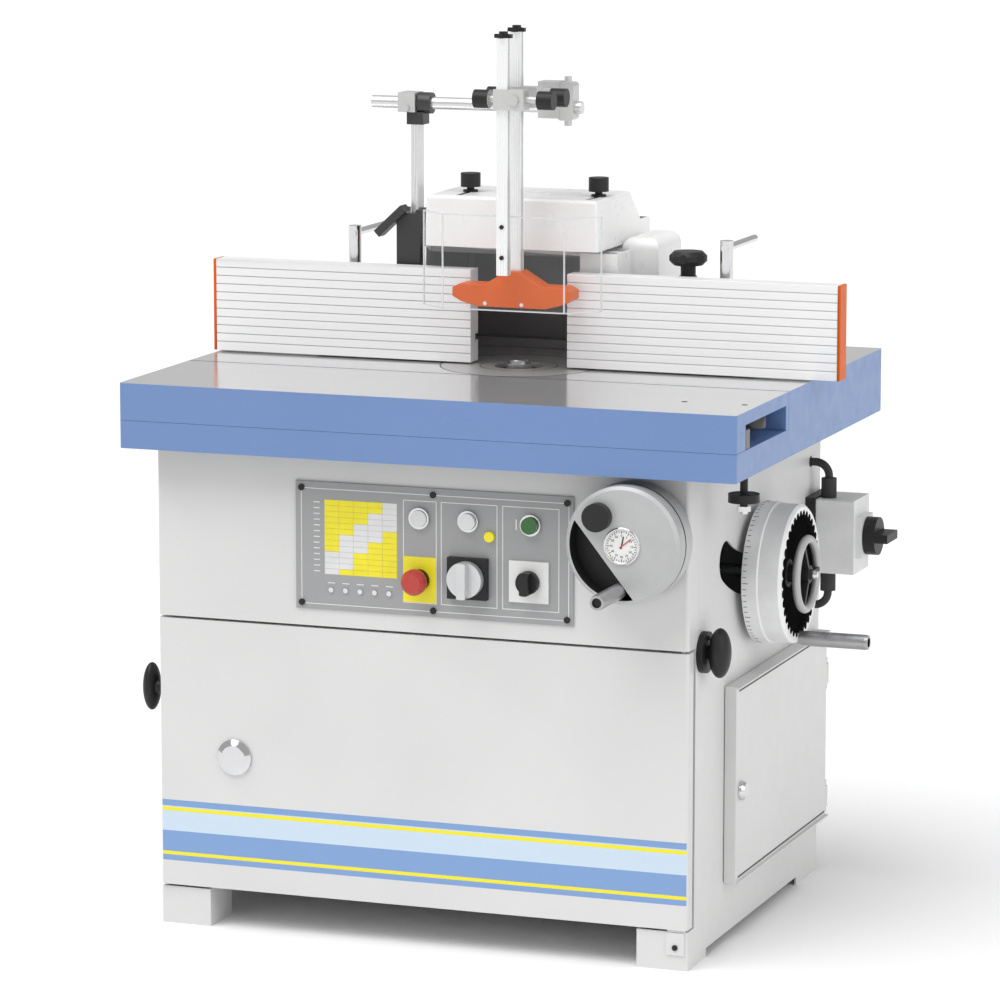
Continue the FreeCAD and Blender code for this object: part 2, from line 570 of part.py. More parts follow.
def sliding_table():
    body = new_body("slide")
    front, rear = "-table_front", "-slide_rear"
    low, high = "table_top - slide_thickness", "table_top"
    roof = "table_top - slide_plate"
    section = outline(body, "YZ_Plane", [
        (front, low),
        (f"{front} + slide_front_wall", low),
        (f"{front} + slide_front_wall", roof),
        (f"{rear} - slide_rear_wall", roof),
        (f"{rear} - slide_rear_wall", low),
        (rear, low),
        (rear, high),
        (front, high),
    ])
    pad(body, section, "table_left + table_right")
    for x in ("clamp_hole_left", "clamp_hole_right"):
        hole = ring_sketch(body, "XY_Plane", (f"{x} + table_left", "-clamp_hole_front"), "clamp_hole_radius")
        pocket(body, hole, "table_top + overrun", back=True)
    table = rounded(place(body, "-table_left", "0", "0"), "table_corner", front_corner)
    node("sliding_table", group(table, *slide_rollers()))
    rail_low = "table_top - slide_thickness - ledge_gap"
    node("slide_rail", block(
        ("-(table_left - rail_inset)", "table_right - rail_inset"),
        ("-rail_front", "-rail_back"),
        (rail_low, f"{rail_low} + rail_rise"),
    ))


def front_corner(edge):
    """The two upright edges at the front corners of the sliding table."""
    if not upright(edge):
        return False
    spot = edge.CenterOfMass.y - value("axis_y")
    return abs(spot + value("table_front")) < value("table_corner")


def slide_rollers():
    """Guide rollers against the rail and load wheels on the ledge, carried by the sliding table."""
    middle = "(table_right - table_left) / 2"
    roof = "table_top - slide_plate"
    floor = "table_top - slide_thickness - ledge_gap"
    rollers = []
    for side in ("-", "+"):
        x = f"{middle} {side} roller_reach"
        y = "-(rail_back - run_gap - roller_radius)"
        low = f"{floor} + roller_foot"
        wheel = rod("roller_radius", "z", (low, f"{low} + roller_face"), (x, y))
        pin = rod("roller_pin", "z", (f"{low} + roller_face", roof), (x, y))
        rollers.append(fuse(wheel, pin))
        z = f"{floor} + run_gap + load_wheel_radius"
        load = rod("load_wheel_radius", "y", ("-load_wheel_front", "-load_wheel_back"), (x, z))
        axle = rod("roller_pin", "y", ("-load_wheel_back", "-slide_rear - slide_rear_wall"), (x, z))
        rollers.append(fuse(load, axle))
    return rollers


# the cabinet


def foot(x, y):
    """One folded foot with an anchor hole, under the base plate."""
    shell = block(x, y, ("0", "base_level"))
    inside = block(
        (f"{x[0]} + foot_wall", f"{x[1]} - foot_wall"),
        (f"{y[0]} + foot_wall", f"{y[1]} - foot_wall"),
        ("foot_floor", "base_level + overrun"),
    )
    hole = rod("anchor_radius", "z", ("-overrun", "foot_floor + overrun"),
               (f"({x[0]} + {x[1]}) / 2", f"({y[0]} + {y[1]}) / 2"))
    return cut(shell, inside, hole)


def feet():
    left = ("-cab_left + sheet", "-cab_left + sheet + foot_width")
    right = ("cab_right - sheet - foot_width", "cab_right - sheet")
    front = ("-toe_front", "-toe_front + foot_depth")
    rear = ("cab_rear - sheet - foot_depth", "cab_rear - sheet")
    return [foot(x, y) for x in (left, right) for y in (front, rear)]


def side_wall(x):
    """A side wall with its toe in front of the base and the low gap between the feet."""
    wall = block(x, ("-wall_front", "cab_rear"), ("0", "table_top - table_thickness"))
    toe = block(x, ("-toe_front", "-wall_front"), ("0", "base_level"))
    gap = block(past(x), ("-side_gap_front", "side_gap_rear"), ("-overrun", "skirt_gap"))
    return cut(fuse(wall, toe), gap)


def arc_slot():
    """The slot that lets the height shaft swing as the spindle tilts."""
    span = past(("cab_right - sheet", "cab_right"))
    arm = "(table_top - height_z)"
    ends = [rod("slot_half", "x", span, ("0", "height_z")), rod("slot_half", "x", span, ("0", "height_z"))]
    swing = FreeCAD.Rotation(FreeCAD.Vector(1, 0, 0), -value("tilt_max"))
    spot = swing.multVec(FreeCAD.Vector(0, 0, -value(arm)))
    bind(ends[1], "Placement.Base.y", f"axis_y - {arm} * {-spot.y / value(arm)}")
    bind(ends[1], "Placement.Base.z", f"table_top - {arm} * {-spot.z / value(arm)}")
    return [sector(f"{arm} - slot_half", f"{arm} + slot_half", span, "-tilt_max", "tilt_max"), *ends]


def cabinet():
    right = ("cab_right - sheet", "cab_right")
    span = past(right)
    opening = block(span, ("-open_front", "open_rear"), ("open_low", "open_high"))
    holes = [rod("cable_hole", "x", span, ("gland_y", z)) for z in cable_levels()]
    stem = rod("stem_radius + run_gap", "x", span, ("knob_y", "knob_z"))
    right_wall = cut(side_wall(right), opening, stem, *holes, *arc_slot())
    left = ("-cab_left", "-cab_left + sheet")
    left_stem = rod("stem_radius + run_gap", "x", past(left), ("left_knob_y", "left_knob_z"))
    left_wall = cut(side_wall(left), left_stem)
    inner = ("-cab_left + sheet", "cab_right - sheet")
    rear = block(inner, ("cab_rear - sheet", "cab_rear"), ("skirt_gap", "table_top - table_thickness"))
    base = block(inner, ("-wall_front", "cab_rear - sheet"), ("base_level", "base_level + sheet"))
    posts = [
        block(x, ("-wall_front", "-wall_front + sheet"),
              ("base_level + sheet", "table_top - table_thickness"))
        for x in ((inner[0], f"{inner[0]} + post_width"), (f"{inner[1]} - post_width", inner[1]))
    ]
    left_cup = knob_cup("-cab_left", -1, "left_knob_y", "left_knob_z")
    node("cabinet", group(left_wall, cut(rear, *vents()), base, *posts, *feet(), left_cup))
    node("right_wall", group(right_wall, knob_cup("cab_right", 1, "knob_y", "knob_z")))


def vents():
    """A row of louvre slots high in the rear wall."""
    return [
        block(about("0", "vent_width"), past(("cab_rear - sheet", "cab_rear")),
              (f"vent_low + {i} * vent_pitch", f"vent_low + {i} * vent_pitch + vent_height"))
        for i in range(int(value("vent_count")))
    ]


def fold(edge):
    """Whether an edge is an upright one on the cabinet's front."""
    return upright(edge) and edge.CenterOfMass.y - value("axis_y") < value("-cab_front + sheet")


def tray(outer, x, y, z, wall, axis, side):
    """A folded tray: a box hollowed out through one face, on the named axis and side."""
    inner = []
    for name, (low, high) in zip("xyz", (x, y, z)):
        low_end = f"{low} - overrun" if (name, "low") == (axis, side) else f"{low} + {wall}"
        high_end = f"{high} + overrun" if (name, "high") == (axis, side) else f"{high} - {wall}"
        inner.append((low_end, high_end))
    return cut(outer, block(*inner))


def upper_front_panel():
    spans = ("-cab_left", "cab_right"), ("-cab_front", "-wall_front"), ("split_high", "panel_top")
    panel = tray(rounded(block(*spans), "fold_radius", fold), *spans, "sheet", "y", "high")
    hole = rod("shaft_hole", "y", ("-cab_front - overrun", "-wall_front"), ("tilt_x", "tilt_z"))
    node("upper_front_panel", cut(panel, hole))


def pivot_spot():
    return "cab_right - door_pivot", "-cab_front + door_pivot"


def front_door():
    low, high = "door_low", "split_low"
    spans = ("-cab_left", "cab_right"), ("-cab_front", "-cab_front + door_depth"), (low, high)
    door = tray(rounded(block(*spans), "fold_radius", fold), *spans, "sheet", "y", "high")
    pins = rod("pivot_radius + run_gap", "z", past((low, high)), pivot_spot())
    latch = rod("latch_stem + run_gap", "y", past(("-cab_front", "-cab_front + sheet")),
                ("latch_x", "latch_z"))
    node("front_door", cut(door, pins, latch))


def front_latch():
    """The door's quarter-turn latch: a domed disc, its stem and its cam."""
    knob = turned_body([
        ("0", "-run_gap - latch_dome"),
        ("latch_radius - latch_dome", "-run_gap - latch_dome"),
        ("latch_radius", "-run_gap - latch_rim"),
        ("latch_radius", "-run_gap"),
        ("latch_stem", "-run_gap"),
        ("latch_stem", "door_depth"),
        ("0", "door_depth"),
    ])
    stand(knob, "y", "-cab_front", ("latch_x", "latch_z"))
    back = "-cab_front + door_depth"
    cam = block(("latch_x - latch_cam", "latch_x + latch_cam_half"), (f"{back} - latch_cam_sheet", back),
                about("latch_z", "latch_cam_half"))
    node("front_latch", fuse(knob, cam))


def side_latch():
    stem = "box_face - cab_right - box_gap"
    disc = turned([
        ("0", "0"),
        ("latch_stem", "0"),
        ("latch_stem", f"{stem} + run_gap"),
        ("box_latch_radius", f"{stem} + run_gap"),
        ("box_latch_radius", f"{stem} + run_gap + latch_rim"),
        ("box_latch_radius - latch_rim", f"{stem} + run_gap + latch_dome"),
        ("0", f"{stem} + run_gap + latch_dome"),
    ], "x", "cab_right + box_gap", ("box_latch_y", "box_latch_z"))
    node("side_latch", disc)


def hinge_levels():
    return ("hinge_low", "hinge_high")


def side_door():
    x = ("cab_right + box_gap", "box_face")
    y = ("-box_front", "box_rear")
    spans = x, y, ("box_low", "box_high")
    shell = tray(block(*spans), *spans, "sheet", "x", "low")
    lips = [
        block((x[1], f"{x[1]} + lip_reach"), y, z)
        for z in (("box_high - sheet", "box_high"), ("box_low", "box_low + sheet"))
    ]
    latch_hole = rod("latch_stem + run_gap", "x", past((f"{x[1]} - sheet", x[1])),
                     ("box_latch_y", "box_latch_z"))
    knuckles = []
    for level in hinge_levels():
        z = (level, f"{level} + knuckle_height")
        knuckles.append(rod("knuckle_radius", "z", z, ("hinge_x", "hinge_y")))
        knuckles.append(block(("hinge_x", "box_face"), ("box_rear - sheet", "hinge_y"), z))
    bore = rod("hinge_pin + run_gap", "z", ("box_low", "box_high"), ("hinge_x", "hinge_y"))
    node("side_door", cut(fuse(shell, *lips, *knuckles), latch_hole, bore))


def door_hinges():
    """Pins of both doors with the lugs that carry them."""
    pieces = []
    for level in hinge_levels():
        low = f"{level} - run_gap"
        high = f"{level} + knuckle_height + run_gap"
        pin = rod("hinge_pin", "z", (f"{low} - lug_height", f"{high} + lug_height"), ("hinge_x", "hinge_y"))
        lugs = [
            block(("cab_right", "hinge_x + hinge_pin"), about("hinge_y", "hinge_pin"), z)
            for z in ((f"{low} - lug_height", low), (high, f"{high} + lug_height"))
        ]
        pieces.append(fuse(pin, *lugs))
    x, y = pivot_spot()
    plate_top = "base_level + sheet"
    plate = block(("cab_right - sheet - bracket_size", "cab_right - sheet"), ("-toe_front", "-wall_front"),
                  ("base_level", plate_top))
    foot_pin = rod("pivot_radius", "z", ("base_level", "door_low + pivot_reach"), (x, y))
    top_pin = rod("pivot_radius", "z", ("split_low - pivot_reach", "split_high"), (x, y))
    node("door_hinges", group(*pieces, fuse(plate, foot_pin), top_pin))


def electrical_tray():
    """The tray behind the electrical door, welded from plates, with its contactors and terminal strip."""
    x = ("cab_right - sheet - tray_depth", "cab_right - sheet")
    y = ("-open_front - tray_lap", "open_rear + tray_lap")
    z = ("open_low - tray_lap", "open_high + tray_lap")
    back = f"{x[0]} + tray_sheet"
    inner = (f"{z[0]} + tray_sheet", f"{z[1]} - tray_sheet")
    shell = [
        block((x[0], back), y, z),
        block((back, x[1]), y, (z[0], inner[0])),
        block((back, x[1]), y, (inner[1], z[1])),
        block((back, x[1]), (y[0], f"{y[0]} + tray_sheet"), inner),
        block((back, x[1]), (f"{y[1]} - tray_sheet", y[1]), inner),
    ]
    units = [
        block((back, f"{back} + unit_depth"),
              (f"-unit_front + {i} * unit_pitch", f"-unit_front + {i} * unit_pitch + unit_width"),
              ("unit_z", "unit_z + unit_height"))
        for i in range(int(value("unit_count")))
    ]
    strip = block((back, f"{back} + strip_depth"), ("-unit_front", "open_rear - unit_width"),
                  ("strip_low", "strip_low + strip_height"))
    node("electrical_tray", group(*shell, *units, strip))


# controls


def plate_front():
    return "-cab_front - sheet"


def control_plate():
    plate = block(("-plate_left", "plate_right"), (plate_front(), "-cab_front"), ("plate_low", "plate_high"))
    heads = [
        rod("screw_radius", "y", (f"{plate_front()} - screw_head", plate_front()), (x, z))
        for x in ("-plate_left + screw_inset", "(plate_right - plate_left) / 2", "plate_right - screw_inset")
        for z in ("plate_low + screw_inset", "plate_high - screw_inset")
    ]
    node("control_plate", group(plate, *heads))


def square(x, z, half, deep):
    """A square plate on the control plate."""
    return block(about(x, half), (f"{plate_front()} - {deep}", plate_front()), about(z, half))


def collar(x, z, radius):
    span = (f"{plate_front()} - collar_depth", plate_front())
    return tube("collar_radius", radius, "y", span, (x, z))


def switch_bezels():
    field = block(about("estop_x", "field_half"), (f"{plate_front()} - field_sheet", plate_front()),
                  about("estop_z", "field_tall"))
    field_hole = rod("collar_radius", "y", past((f"{plate_front()} - field_sheet", plate_front())),
                     ("estop_x", "estop_z"))
    collars = [collar(x, "upper_z", "push_radius + run_gap") for x in ("lamp_x", "feed_x", "start_x")]
    stop = collar("estop_x", "estop_z", "estop_stem + run_gap")
    switch = square("switch_x", "lower_z", "switch_half", "switch_deep")
    choice = square("choice_x", "lower_z", "choice_half", "choice_deep")
    key = rod("key_radius", "y", (f"{plate_front()} - key_deep", plate_front()), ("key_x", "key_z"))
    node("switch_bezels", group(cut(field, field_hole), *collars, stop, switch, choice, key, *lamps()))


def lamps():
    """The pilot lamp in its collar and the row of small lamps."""
    front = plate_front()
    leds = [
        rod("led_radius", "y", (f"{front} - led_rise", front), (f"-led_left + {i} * led_pitch", "led_z"))
        for i in range(int(value("led_count")))
    ]
    lamp = rod("push_radius", "y", (f"{front} - collar_depth - push_depth / 2", front), ("lamp_x", "upper_z"))
    return [lamp, *leds]


def push_button(label, x):
    front = plate_front()
    face = f"{front} - collar_depth - push_depth"
    node(label, rod("push_radius", "y", (face, f"{front} - push_depth - run_gap"), (x, "upper_z")))


def buttons():
    push_button("start_button", "start_x")
    push_button("feed_button", "feed_x")
    top = "-estop_reach - estop_head"
    node("estop_button", turned([
        ("0", "-estop_tail"),
        ("estop_stem", "-estop_tail"),
        ("estop_stem", "-estop_reach"),
        ("estop_radius", "-estop_reach"),
        ("estop_radius", f"{top} + estop_head / 2"),
        ("estop_dome", top),
        ("0", top),
    ], "y", plate_front(), ("estop_x", "estop_z")))


def turn_knob(label, x, z, deep, radius, disc):
    """A rotary switch's knob: a disc with a grip bar across it."""
    back = f"{plate_front()} - {deep} - run_gap"
    plate = rod(radius, "y", (f"{back} - {disc}", back), (x, z))
    bar = block(about(x, "bar_half"), (f"{back} - {disc} - bar_rise", f"{back} - {disc}"), about(z, radius))
    rim = rod(radius, "y", (f"{back} - {disc} - bar_rise", f"{back} - {disc}"), (x, z))
    node(label, fuse(plate, common(bar, rim)))


def turn_knobs():
    turn_knob("main_switch_knob", "switch_x", "lower_z", "switch_deep", "switch_radius", "switch_disc")
    turn_knob("selector_knob", "choice_x", "lower_z", "choice_deep", "choice_radius", "choice_disc")


# handwheels


def tilt_wheel():
    """The front handwheel: a grooved drum with a dial recess, a crescent window and its shaft."""
    deep = "tilt_depth"
    body = turned_body([
        ("wheel_bore", "0"),
        ("tilt_radius", "0"),
        ("tilt_radius", "-tilt_band"),
        ("tilt_radius - tilt_groove", "-tilt_band"),
        ("tilt_radius - tilt_groove", "-tilt_band - tilt_groove"),
        ("tilt_radius", "-tilt_band - tilt_groove"),
        ("tilt_radius", f"-{deep} + tilt_bevel"),
        ("tilt_radius - tilt_bevel", f"-{deep}"),
        ("dial_radius + run_gap", f"-{deep}"),
        ("dial_radius + run_gap", f"-{deep} + dial_recess"),
        ("wheel_bore", f"-{deep} + dial_recess"),
    ])
    back = "-cab_front - wheel_gap"
    drum = stand(body, "y", back, ("tilt_x", "tilt_z"))
    span = (f"{back} - {deep} - overrun", f"{back} - {deep} + window_deep")
    disc = rod("window_radius", "y", span, ("tilt_x", "tilt_z"))
    half_plane = DOC.addObject("Part::Box", "half_plane")
    bind(half_plane, "Length", "2 * tilt_radius")
    bind(half_plane, "Width", "window_deep + overrun")
    bind(half_plane, "Height", "tilt_radius")
    lean = FreeCAD.Rotation(FreeCAD.Vector(0, 1, 0), -value("window_angle"))
    half_plane.Placement = FreeCAD.Placement(ORIGIN, lean)
    corner = lean.multVec(FreeCAD.Vector(-1, 0, 0))
    deep_way = lean.multVec(FreeCAD.Vector(0, 0, 1))
    place(half_plane, f"tilt_x + tilt_radius * {corner.x} + window_chord * {deep_way.x}", span[0],
          f"tilt_z + tilt_radius * {corner.z} + window_chord * {deep_way.z}")
    floor = f"{back} - {deep} + window_deep"
    pin_at = ("tilt_x + tilt_pin_x", "tilt_z + tilt_pin_z")
    pin = rod("grip_pin", "y", (f"{floor} - tilt_grip + grip_waist", floor), pin_at)
    shaft = rod("wheel_bore", "y", (f"{back} - {deep} + dial_recess", "-shaft_end"), ("tilt_x", "tilt_z"))
    node("tilt_wheel", group(cut(drum, common(disc, half_plane)), pin, shaft))
    grip("tilt_grip", "y", f"{floor} - run_gap", pin_at, "tilt_grip", -1)
    face = f"{back} - {deep}"
    node("tilt_dial", rod("dial_radius", "y", (f"{face} - dial_rise", f"{face} + dial_recess"),
                          ("tilt_x", "tilt_z")))
    knob_at = ("tilt_x + tilt_knob_x", "tilt_z + tilt_knob_z")
    node("tilt_wheel_knob", rod("knob_radius", "y", (f"{face} - run_gap - knob_depth", f"{face} - run_gap"),
                                knob_at))


def grip(label, axis, start, centre, length, way):
    """A barrel-shaped crank grip that spins on its pin."""
    bottom, floor = f"{length} - grip_waist + run_gap", f"{length} - dimple_deep"
    profile = [
        ("grip_pin + shaft_gap", "0"),
        ("grip_waist", "0"),
        ("grip_radius", f"{length} * swell_share"),
        ("grip_radius", f"{length} * fall_share"),
        ("grip_waist", length),
        ("grip_dimple", length),
        ("grip_dimple", floor),
        ("0", floor),
        ("0", bottom),
        ("grip_pin + shaft_gap", bottom),
    ]
    points = [(radius, f"{way} * ({reach})") for radius, reach in profile]
    node(label, turned(points, axis, start, centre))


def height_wheel():
    """The side handwheel: a stepped cup with a scalloped mouth, its shaft and its grip's pin."""
    body = turned_body([
        ("wheel_bore", "0"),
        ("height_radius", "0"),
        ("height_radius", "height_band"),
        ("height_radius - height_step", "height_band + height_step"),
        ("height_radius - height_step", "height_depth - height_bevel"),
        ("height_radius - height_step - height_bevel", "height_depth"),
        ("cup_mouth", "height_depth"),
        ("cup_mouth", "height_depth - cup_lip"),
        ("cup_radius", "height_depth - cup_slope"),
        ("cup_radius", "cup_floor"),
        ("hub_radius", "cup_floor"),
        ("hub_radius", "hub_depth"),
        ("wheel_bore", "hub_depth"),
    ])
    notch = ring_sketch(body, "XY_Plane", ("0", "cup_mouth"), "scallop_radius")
    rise = lip_notch(body, notch)
    polar(body, rise, notch, "scallop_count")
    back = "cab_right + wheel_gap"
    drum = stand(body, "x", back, ("0", "height_z"))
    shaft = rod("wheel_bore", "x", ("shaft_in", f"{back} + hub_depth"), ("0", "height_z"))
    stub = rod("stub_radius", "x", (f"{back} + hub_depth", f"{back} + hub_depth + stub_reach"),
               ("0", "height_z"))
    pin_at = ("0", "height_z - height_pin_radius")
    front = f"{back} + height_depth"
    pin = rod("grip_pin", "x", (front, f"{front} + height_grip - grip_waist"), pin_at)
    node("height_wheel", group(drum, fuse(shaft, stub), pin))
    grip("height_grip", "x", f"{front} + run_gap", pin_at, "height_grip", 1)


def lip_notch(body, sketch):
    """A notch through the wheel's lip, from inside the cup out past its mouth."""
    bind(sketch, "AttachmentOffset.Base.z", "height_depth - cup_lip - overrun")
    return pocket(body, sketch, "cup_lip + 2 * overrun", back=True)


def height_lock():
    """The clamp ring in front of the height wheel: a ring, three spokes, a hub and a domed nut."""
    back = "cab_right + wheel_gap"
    ring = DOC.addObject("Part::Torus", "ring")
    bind(ring, "Radius1", "lock_radius")
    bind(ring, "Radius2", "lock_wire")
    stand(ring, "x", f"{back} + lock_middle", ("0", "height_z"))
    hub_low = f"{back} + hub_depth + run_gap"
    hub_high = f"{hub_low} + lock_hub_depth"
    hub = rod("lock_hub", "x", (hub_low, hub_high), ("0", "height_z"))
    dome = cone("acorn_radius", "acorn_radius / 2", "x", (hub_high, f"{hub_high} + acorn_height"),
                ("0", "height_z"))
    stub_end = f"{back} + hub_depth + stub_reach"
    bore = rod("stub_radius + shaft_gap", "x", (f"{hub_low} - overrun", f"{stub_end} + run_gap"),
               ("0", "height_z"))
    spokes = []
    for i in range(int(value("spoke_count"))):
        spoke = DOC.addObject("Part::Box", "spoke")
        bind(spoke, "Length", "2 * spoke_half")
        bind(spoke, "Width", "lock_radius")
        bind(spoke, "Height", "spoke_half")
        spin = FreeCAD.Rotation(FreeCAD.Vector(1, 0, 0), FULL_TURN / value("spoke_count") * i)
        spoke.Placement = FreeCAD.Placement(ORIGIN, spin)
        low = spin.multVec(FreeCAD.Vector(0, 0, -1))
        place(spoke, f"{back} + lock_middle - spoke_half", f"spoke_half / 2 * {low.y}",
              f"height_z + spoke_half / 2 * {low.z}")
        spokes.append(spoke)
    node("height_lock_ring", cut(fuse(ring, hub, dome, *spokes), bore))


# inside the cabinet


def mirrored_span(low, high, side):
    """A span on the right, or the same span on the left."""
    return (low, high) if side > 0 else (f"-({high})", f"-({low})")


def trunnion_brackets():
    pieces = []
    for side in (1, -1):
        plate = block(mirrored_span("arc_face + side_gap", "plate_out", side), about("0", "bracket_half"),
                      ("bracket_low", "table_top - table_thickness"))
        ledge = sector("arc_outer + run_gap", "ledge_outer",
                       mirrored_span("cheek_out + side_gap", "arc_face + side_gap", side),
                       "-ledge_span / 2", "ledge_span")
        pieces.append(fuse(plate, ledge))
    gearbox = block(("plate_out", "gearbox_right"), ("-gearbox_front", "-gearbox_rear"),
                    about("tilt_z", "gearbox_half"))
    bore = rod("wheel_bore + shaft_gap", "y", ("-gearbox_front - overrun", "-shaft_end + run_gap"),
               ("tilt_x", "tilt_z"))
    node("trunnion_brackets", group(*pieces, cut(gearbox, bore)))


def tilt_frame():
    """Two cheeks with arc shoes, the plate that joins them, guide columns and the lift gearbox."""
    pieces, columns = [], []
    for side in (1, -1):
        cheek = mirrored_span("cheek_in", "cheek_out", side)
        yoke = mirrored_span("yoke_in", "cheek_in", side)
        deep = ("ear_front", "cheek_rear")
        pieces += [
            block(cheek, ("-cheek_front", "cheek_rear"), ("cheek_low", "cheek_mid")),
            block(cheek, deep, ("cheek_mid", "cheek_top")),
            sector("arc_inner", "arc_outer", mirrored_span("cheek_out", "arc_face", side),
                   "-arc_rest", "arc_span"),
            block(yoke, deep, ("cheek_top - yoke_height", "cheek_top")),
            block(yoke, deep, ("cheek_low", "cheek_low + foot_height")),
        ]
        columns.append((f"{side} * column_x", "column_y"))
    pieces.append(block(about("0", "cheek_in"), ("-cheek_front", "-cheek_front + front_sheet"),
                        ("front_low", "front_high")))
    pieces.append(block(("lift_box_in", "cheek_in"), about("0", "lift_box_half"),
                        ("lift_box_low", "lift_box_high")))
    span = ("cheek_low", "cheek_top")
    bores = [rod("column_radius", "z", past(span), spot) for spot in columns]
    bores.append(rod("wheel_bore + shaft_gap", "x", ("shaft_in - run_gap", "cheek_out + overrun"),
                     ("0", "height_z")))
    bores.append(rod("lift_screw_radius + shaft_gap", "z",
                     ("lift_screw_low - run_gap", "lift_box_high + overrun"), ("screw_x", "0")))
    guides = [rod("column_radius", "z", span, spot) for spot in columns]
    node("tilt_frame", group(cut(fuse(*pieces), *bores), *guides))
    node("lift_screw", rod("lift_screw_radius", "z", ("lift_screw_low", "lift_screw_high"), ("screw_x", "0")))


def spindle_housing():
    axis = ("0", "0")
    pieces = [
        rod("housing_radius", "z", ("housing_low", "neck_low"), axis),
        rod("neck_radius", "z", ("neck_low", "housing_high"), axis),
        block(about("0", "block_half"), ("block_front", "block_rear"), ("block_low", "block_high")),
        block(about("0", "arm_out"), ("arm_front", "motor_plate_rear"),
              ("motor_plate_low", "motor_plate_low + motor_plate")),
        block(("nut_in", "nut_out"), about("0", "nut_half"), ("nut_low", "nut_high")),
    ]
    for side in (1, -1):
        pieces.append(block(mirrored_span("arm_in", "arm_out", side), ("arm_front", "block_rear"),
                            ("motor_plate_low", "block_low + overrun")))
    bores = [
        rod("core_radius", "z", past(("housing_low", "housing_high")), axis),
        rod("bearing_radius", "z", ("housing_low - overrun", "housing_low + bearing_height"), axis),
        rod("bearing_radius", "z", ("housing_high - bearing_height", "housing_high + overrun"), axis),
        rod("motor_hole", "z", past(("motor_plate_low", "motor_plate_low + motor_plate")), ("0", "motor_y")),
        rod("lift_screw_radius + run_gap", "z", past(("nut_low", "nut_high")), ("screw_x", "0")),
    ]
    for side in (1, -1):
        bores.append(rod("column_radius + shaft_gap", "z", past(("block_low", "block_high")),
                         (f"{side} * column_x", "column_y")))
    bearings = [
        tube("bearing_radius", "spindle_radius + shaft_gap", "z", span, axis)
        for span in (("housing_low", "housing_low + bearing_height"),
                     ("housing_high - bearing_height", "housing_high"))
    ]
    node("spindle_housing", group(cut(fuse(*pieces), *bores), *bearings))


def drive():
    axis = ("0", "motor_y")
    motor = fuse(
        rod("motor_radius", "z", ("motor_low + fan_height", "motor_plate_low"), axis),
        rod("flange_radius", "z", ("motor_plate_low - flange_height", "motor_plate_low"), axis),
        rod("fan_radius", "z", ("motor_low", "motor_low + fan_height"), axis),
        block(about("0", "term_half"), ("motor_y", "term_rear"), ("term_low", "term_high")),
    )
    flange_low = "motor_plate_low - flange_height"
    shaft_hole = rod("rotor_radius + run_gap", "z", (flange_low, "motor_plate_low + overrun"), axis)
    node("drive_motor", cut(motor, shaft_hole))
    stub = rod("rotor_radius", "z", ("motor_plate_low - flange_height + run_gap", "pulley_high"), axis)
    node("motor_pulley", fuse(stub, pulley("motor_pulley", "0", axis)))
    node("spindle_pulley", pulley("spindle_pulley", "arbor_radius", ("0", "0")))
    drive_belt()


def pulley(radius, bore, centre):
    """A flat-bottomed belt pulley between two flanges."""
    rise = f"{radius} + flange_rise"
    high = "pulley_high - pulley_low"
    return turned([
        (bore, "0"),
        (rise, "0"),
        (rise, "pulley_flange"),
        (radius, "pulley_flange"),
        (radius, f"{high} - pulley_flange"),
        (rise, f"{high} - pulley_flange"),
        (rise, high),
        (bore, high),
    ], "z", "pulley_low", centre)


def belt_loop(grow):
    """A face inside the belt's line, grown outwards: two arcs and the two straight runs."""
    small = value("spindle_pulley + run_gap") + grow
    large = value("motor_pulley + run_gap") + grow
    reach = value("motor_y")
    lean = (large - small) / reach
    level = (1 - lean * lean) ** 0.5
    ends = [FreeCAD.Vector(side * radius * level, y - radius * lean, 0)
            for radius, y in ((small, 0), (large, reach)) for side in (1, -1)]
    front = FreeCAD.Vector(0, -small, 0)
    back = FreeCAD.Vector(0, reach + large, 0)
    edges = [
        Part.Arc(ends[1], front, ends[0]).toShape(),
        Part.LineSegment(ends[0], ends[2]).toShape(),
        Part.Arc(ends[2], back, ends[3]).toShape(),
        Part.LineSegment(ends[3], ends[1]).toShape(),
    ]
    return Part.Face(Part.Wire(edges))


def drive_belt():
    low = value("pulley_low + pulley_flange + run_gap")
    width = value("pulley_high - pulley_low - 2 * pulley_flange - 2 * run_gap")
    ring = belt_loop(value("belt_thickness")).cut(belt_loop(0))
    belt = DOC.addObject("Part::Feature", "belt")
    belt.Shape = ring.extrude(FreeCAD.Vector(0, 0, width)).Solids[0]
    spot = FreeCAD.Vector(value("axis_x"), value("axis_y"), low)
    belt.Placement = FreeCAD.Placement(spot, FreeCAD.Rotation())
    node("drive_belt", belt)


def spindle_shaft():
    shaft = turned([
        ("0", "0"),
        ("arbor_radius", "0"),
        ("arbor_radius", "seat_low - spindle_low"),
        ("spindle_radius", "seat_low - spindle_low"),
        ("spindle_radius", "nose_low - spindle_low"),
        ("nose_radius", "nose_low - spindle_low"),
        ("nose_radius", "nose_high - spindle_low"),
        ("arbor_radius", "nose_high - spindle_low"),
        ("arbor_radius", "arbor_high - arbor_bevel - spindle_low"),
        ("arbor_radius - arbor_bevel", "arbor_high - spindle_low"),
        ("0", "arbor_high - spindle_low"),
    ], "z", "spindle_low", ("0", "0"))
    axis = ("0", "0")
    spacer = tube("spacer_radius", "arbor_radius", "z", ("nose_high", "nose_high + spacer_height"), axis)
    nut_low = "washer_low + washer_height"
    washer = tube("spacer_radius", "arbor_radius", "z", ("washer_low", nut_low), axis)
    span = (nut_low, f"{nut_low} + nut_height")
    nut = cut(hexagon("nut_corner", "z", span, axis), rod("arbor_radius", "z", past(span), axis))
    node("spindle_shaft", group(shaft, spacer, washer, nut))


# side knobs, isolator


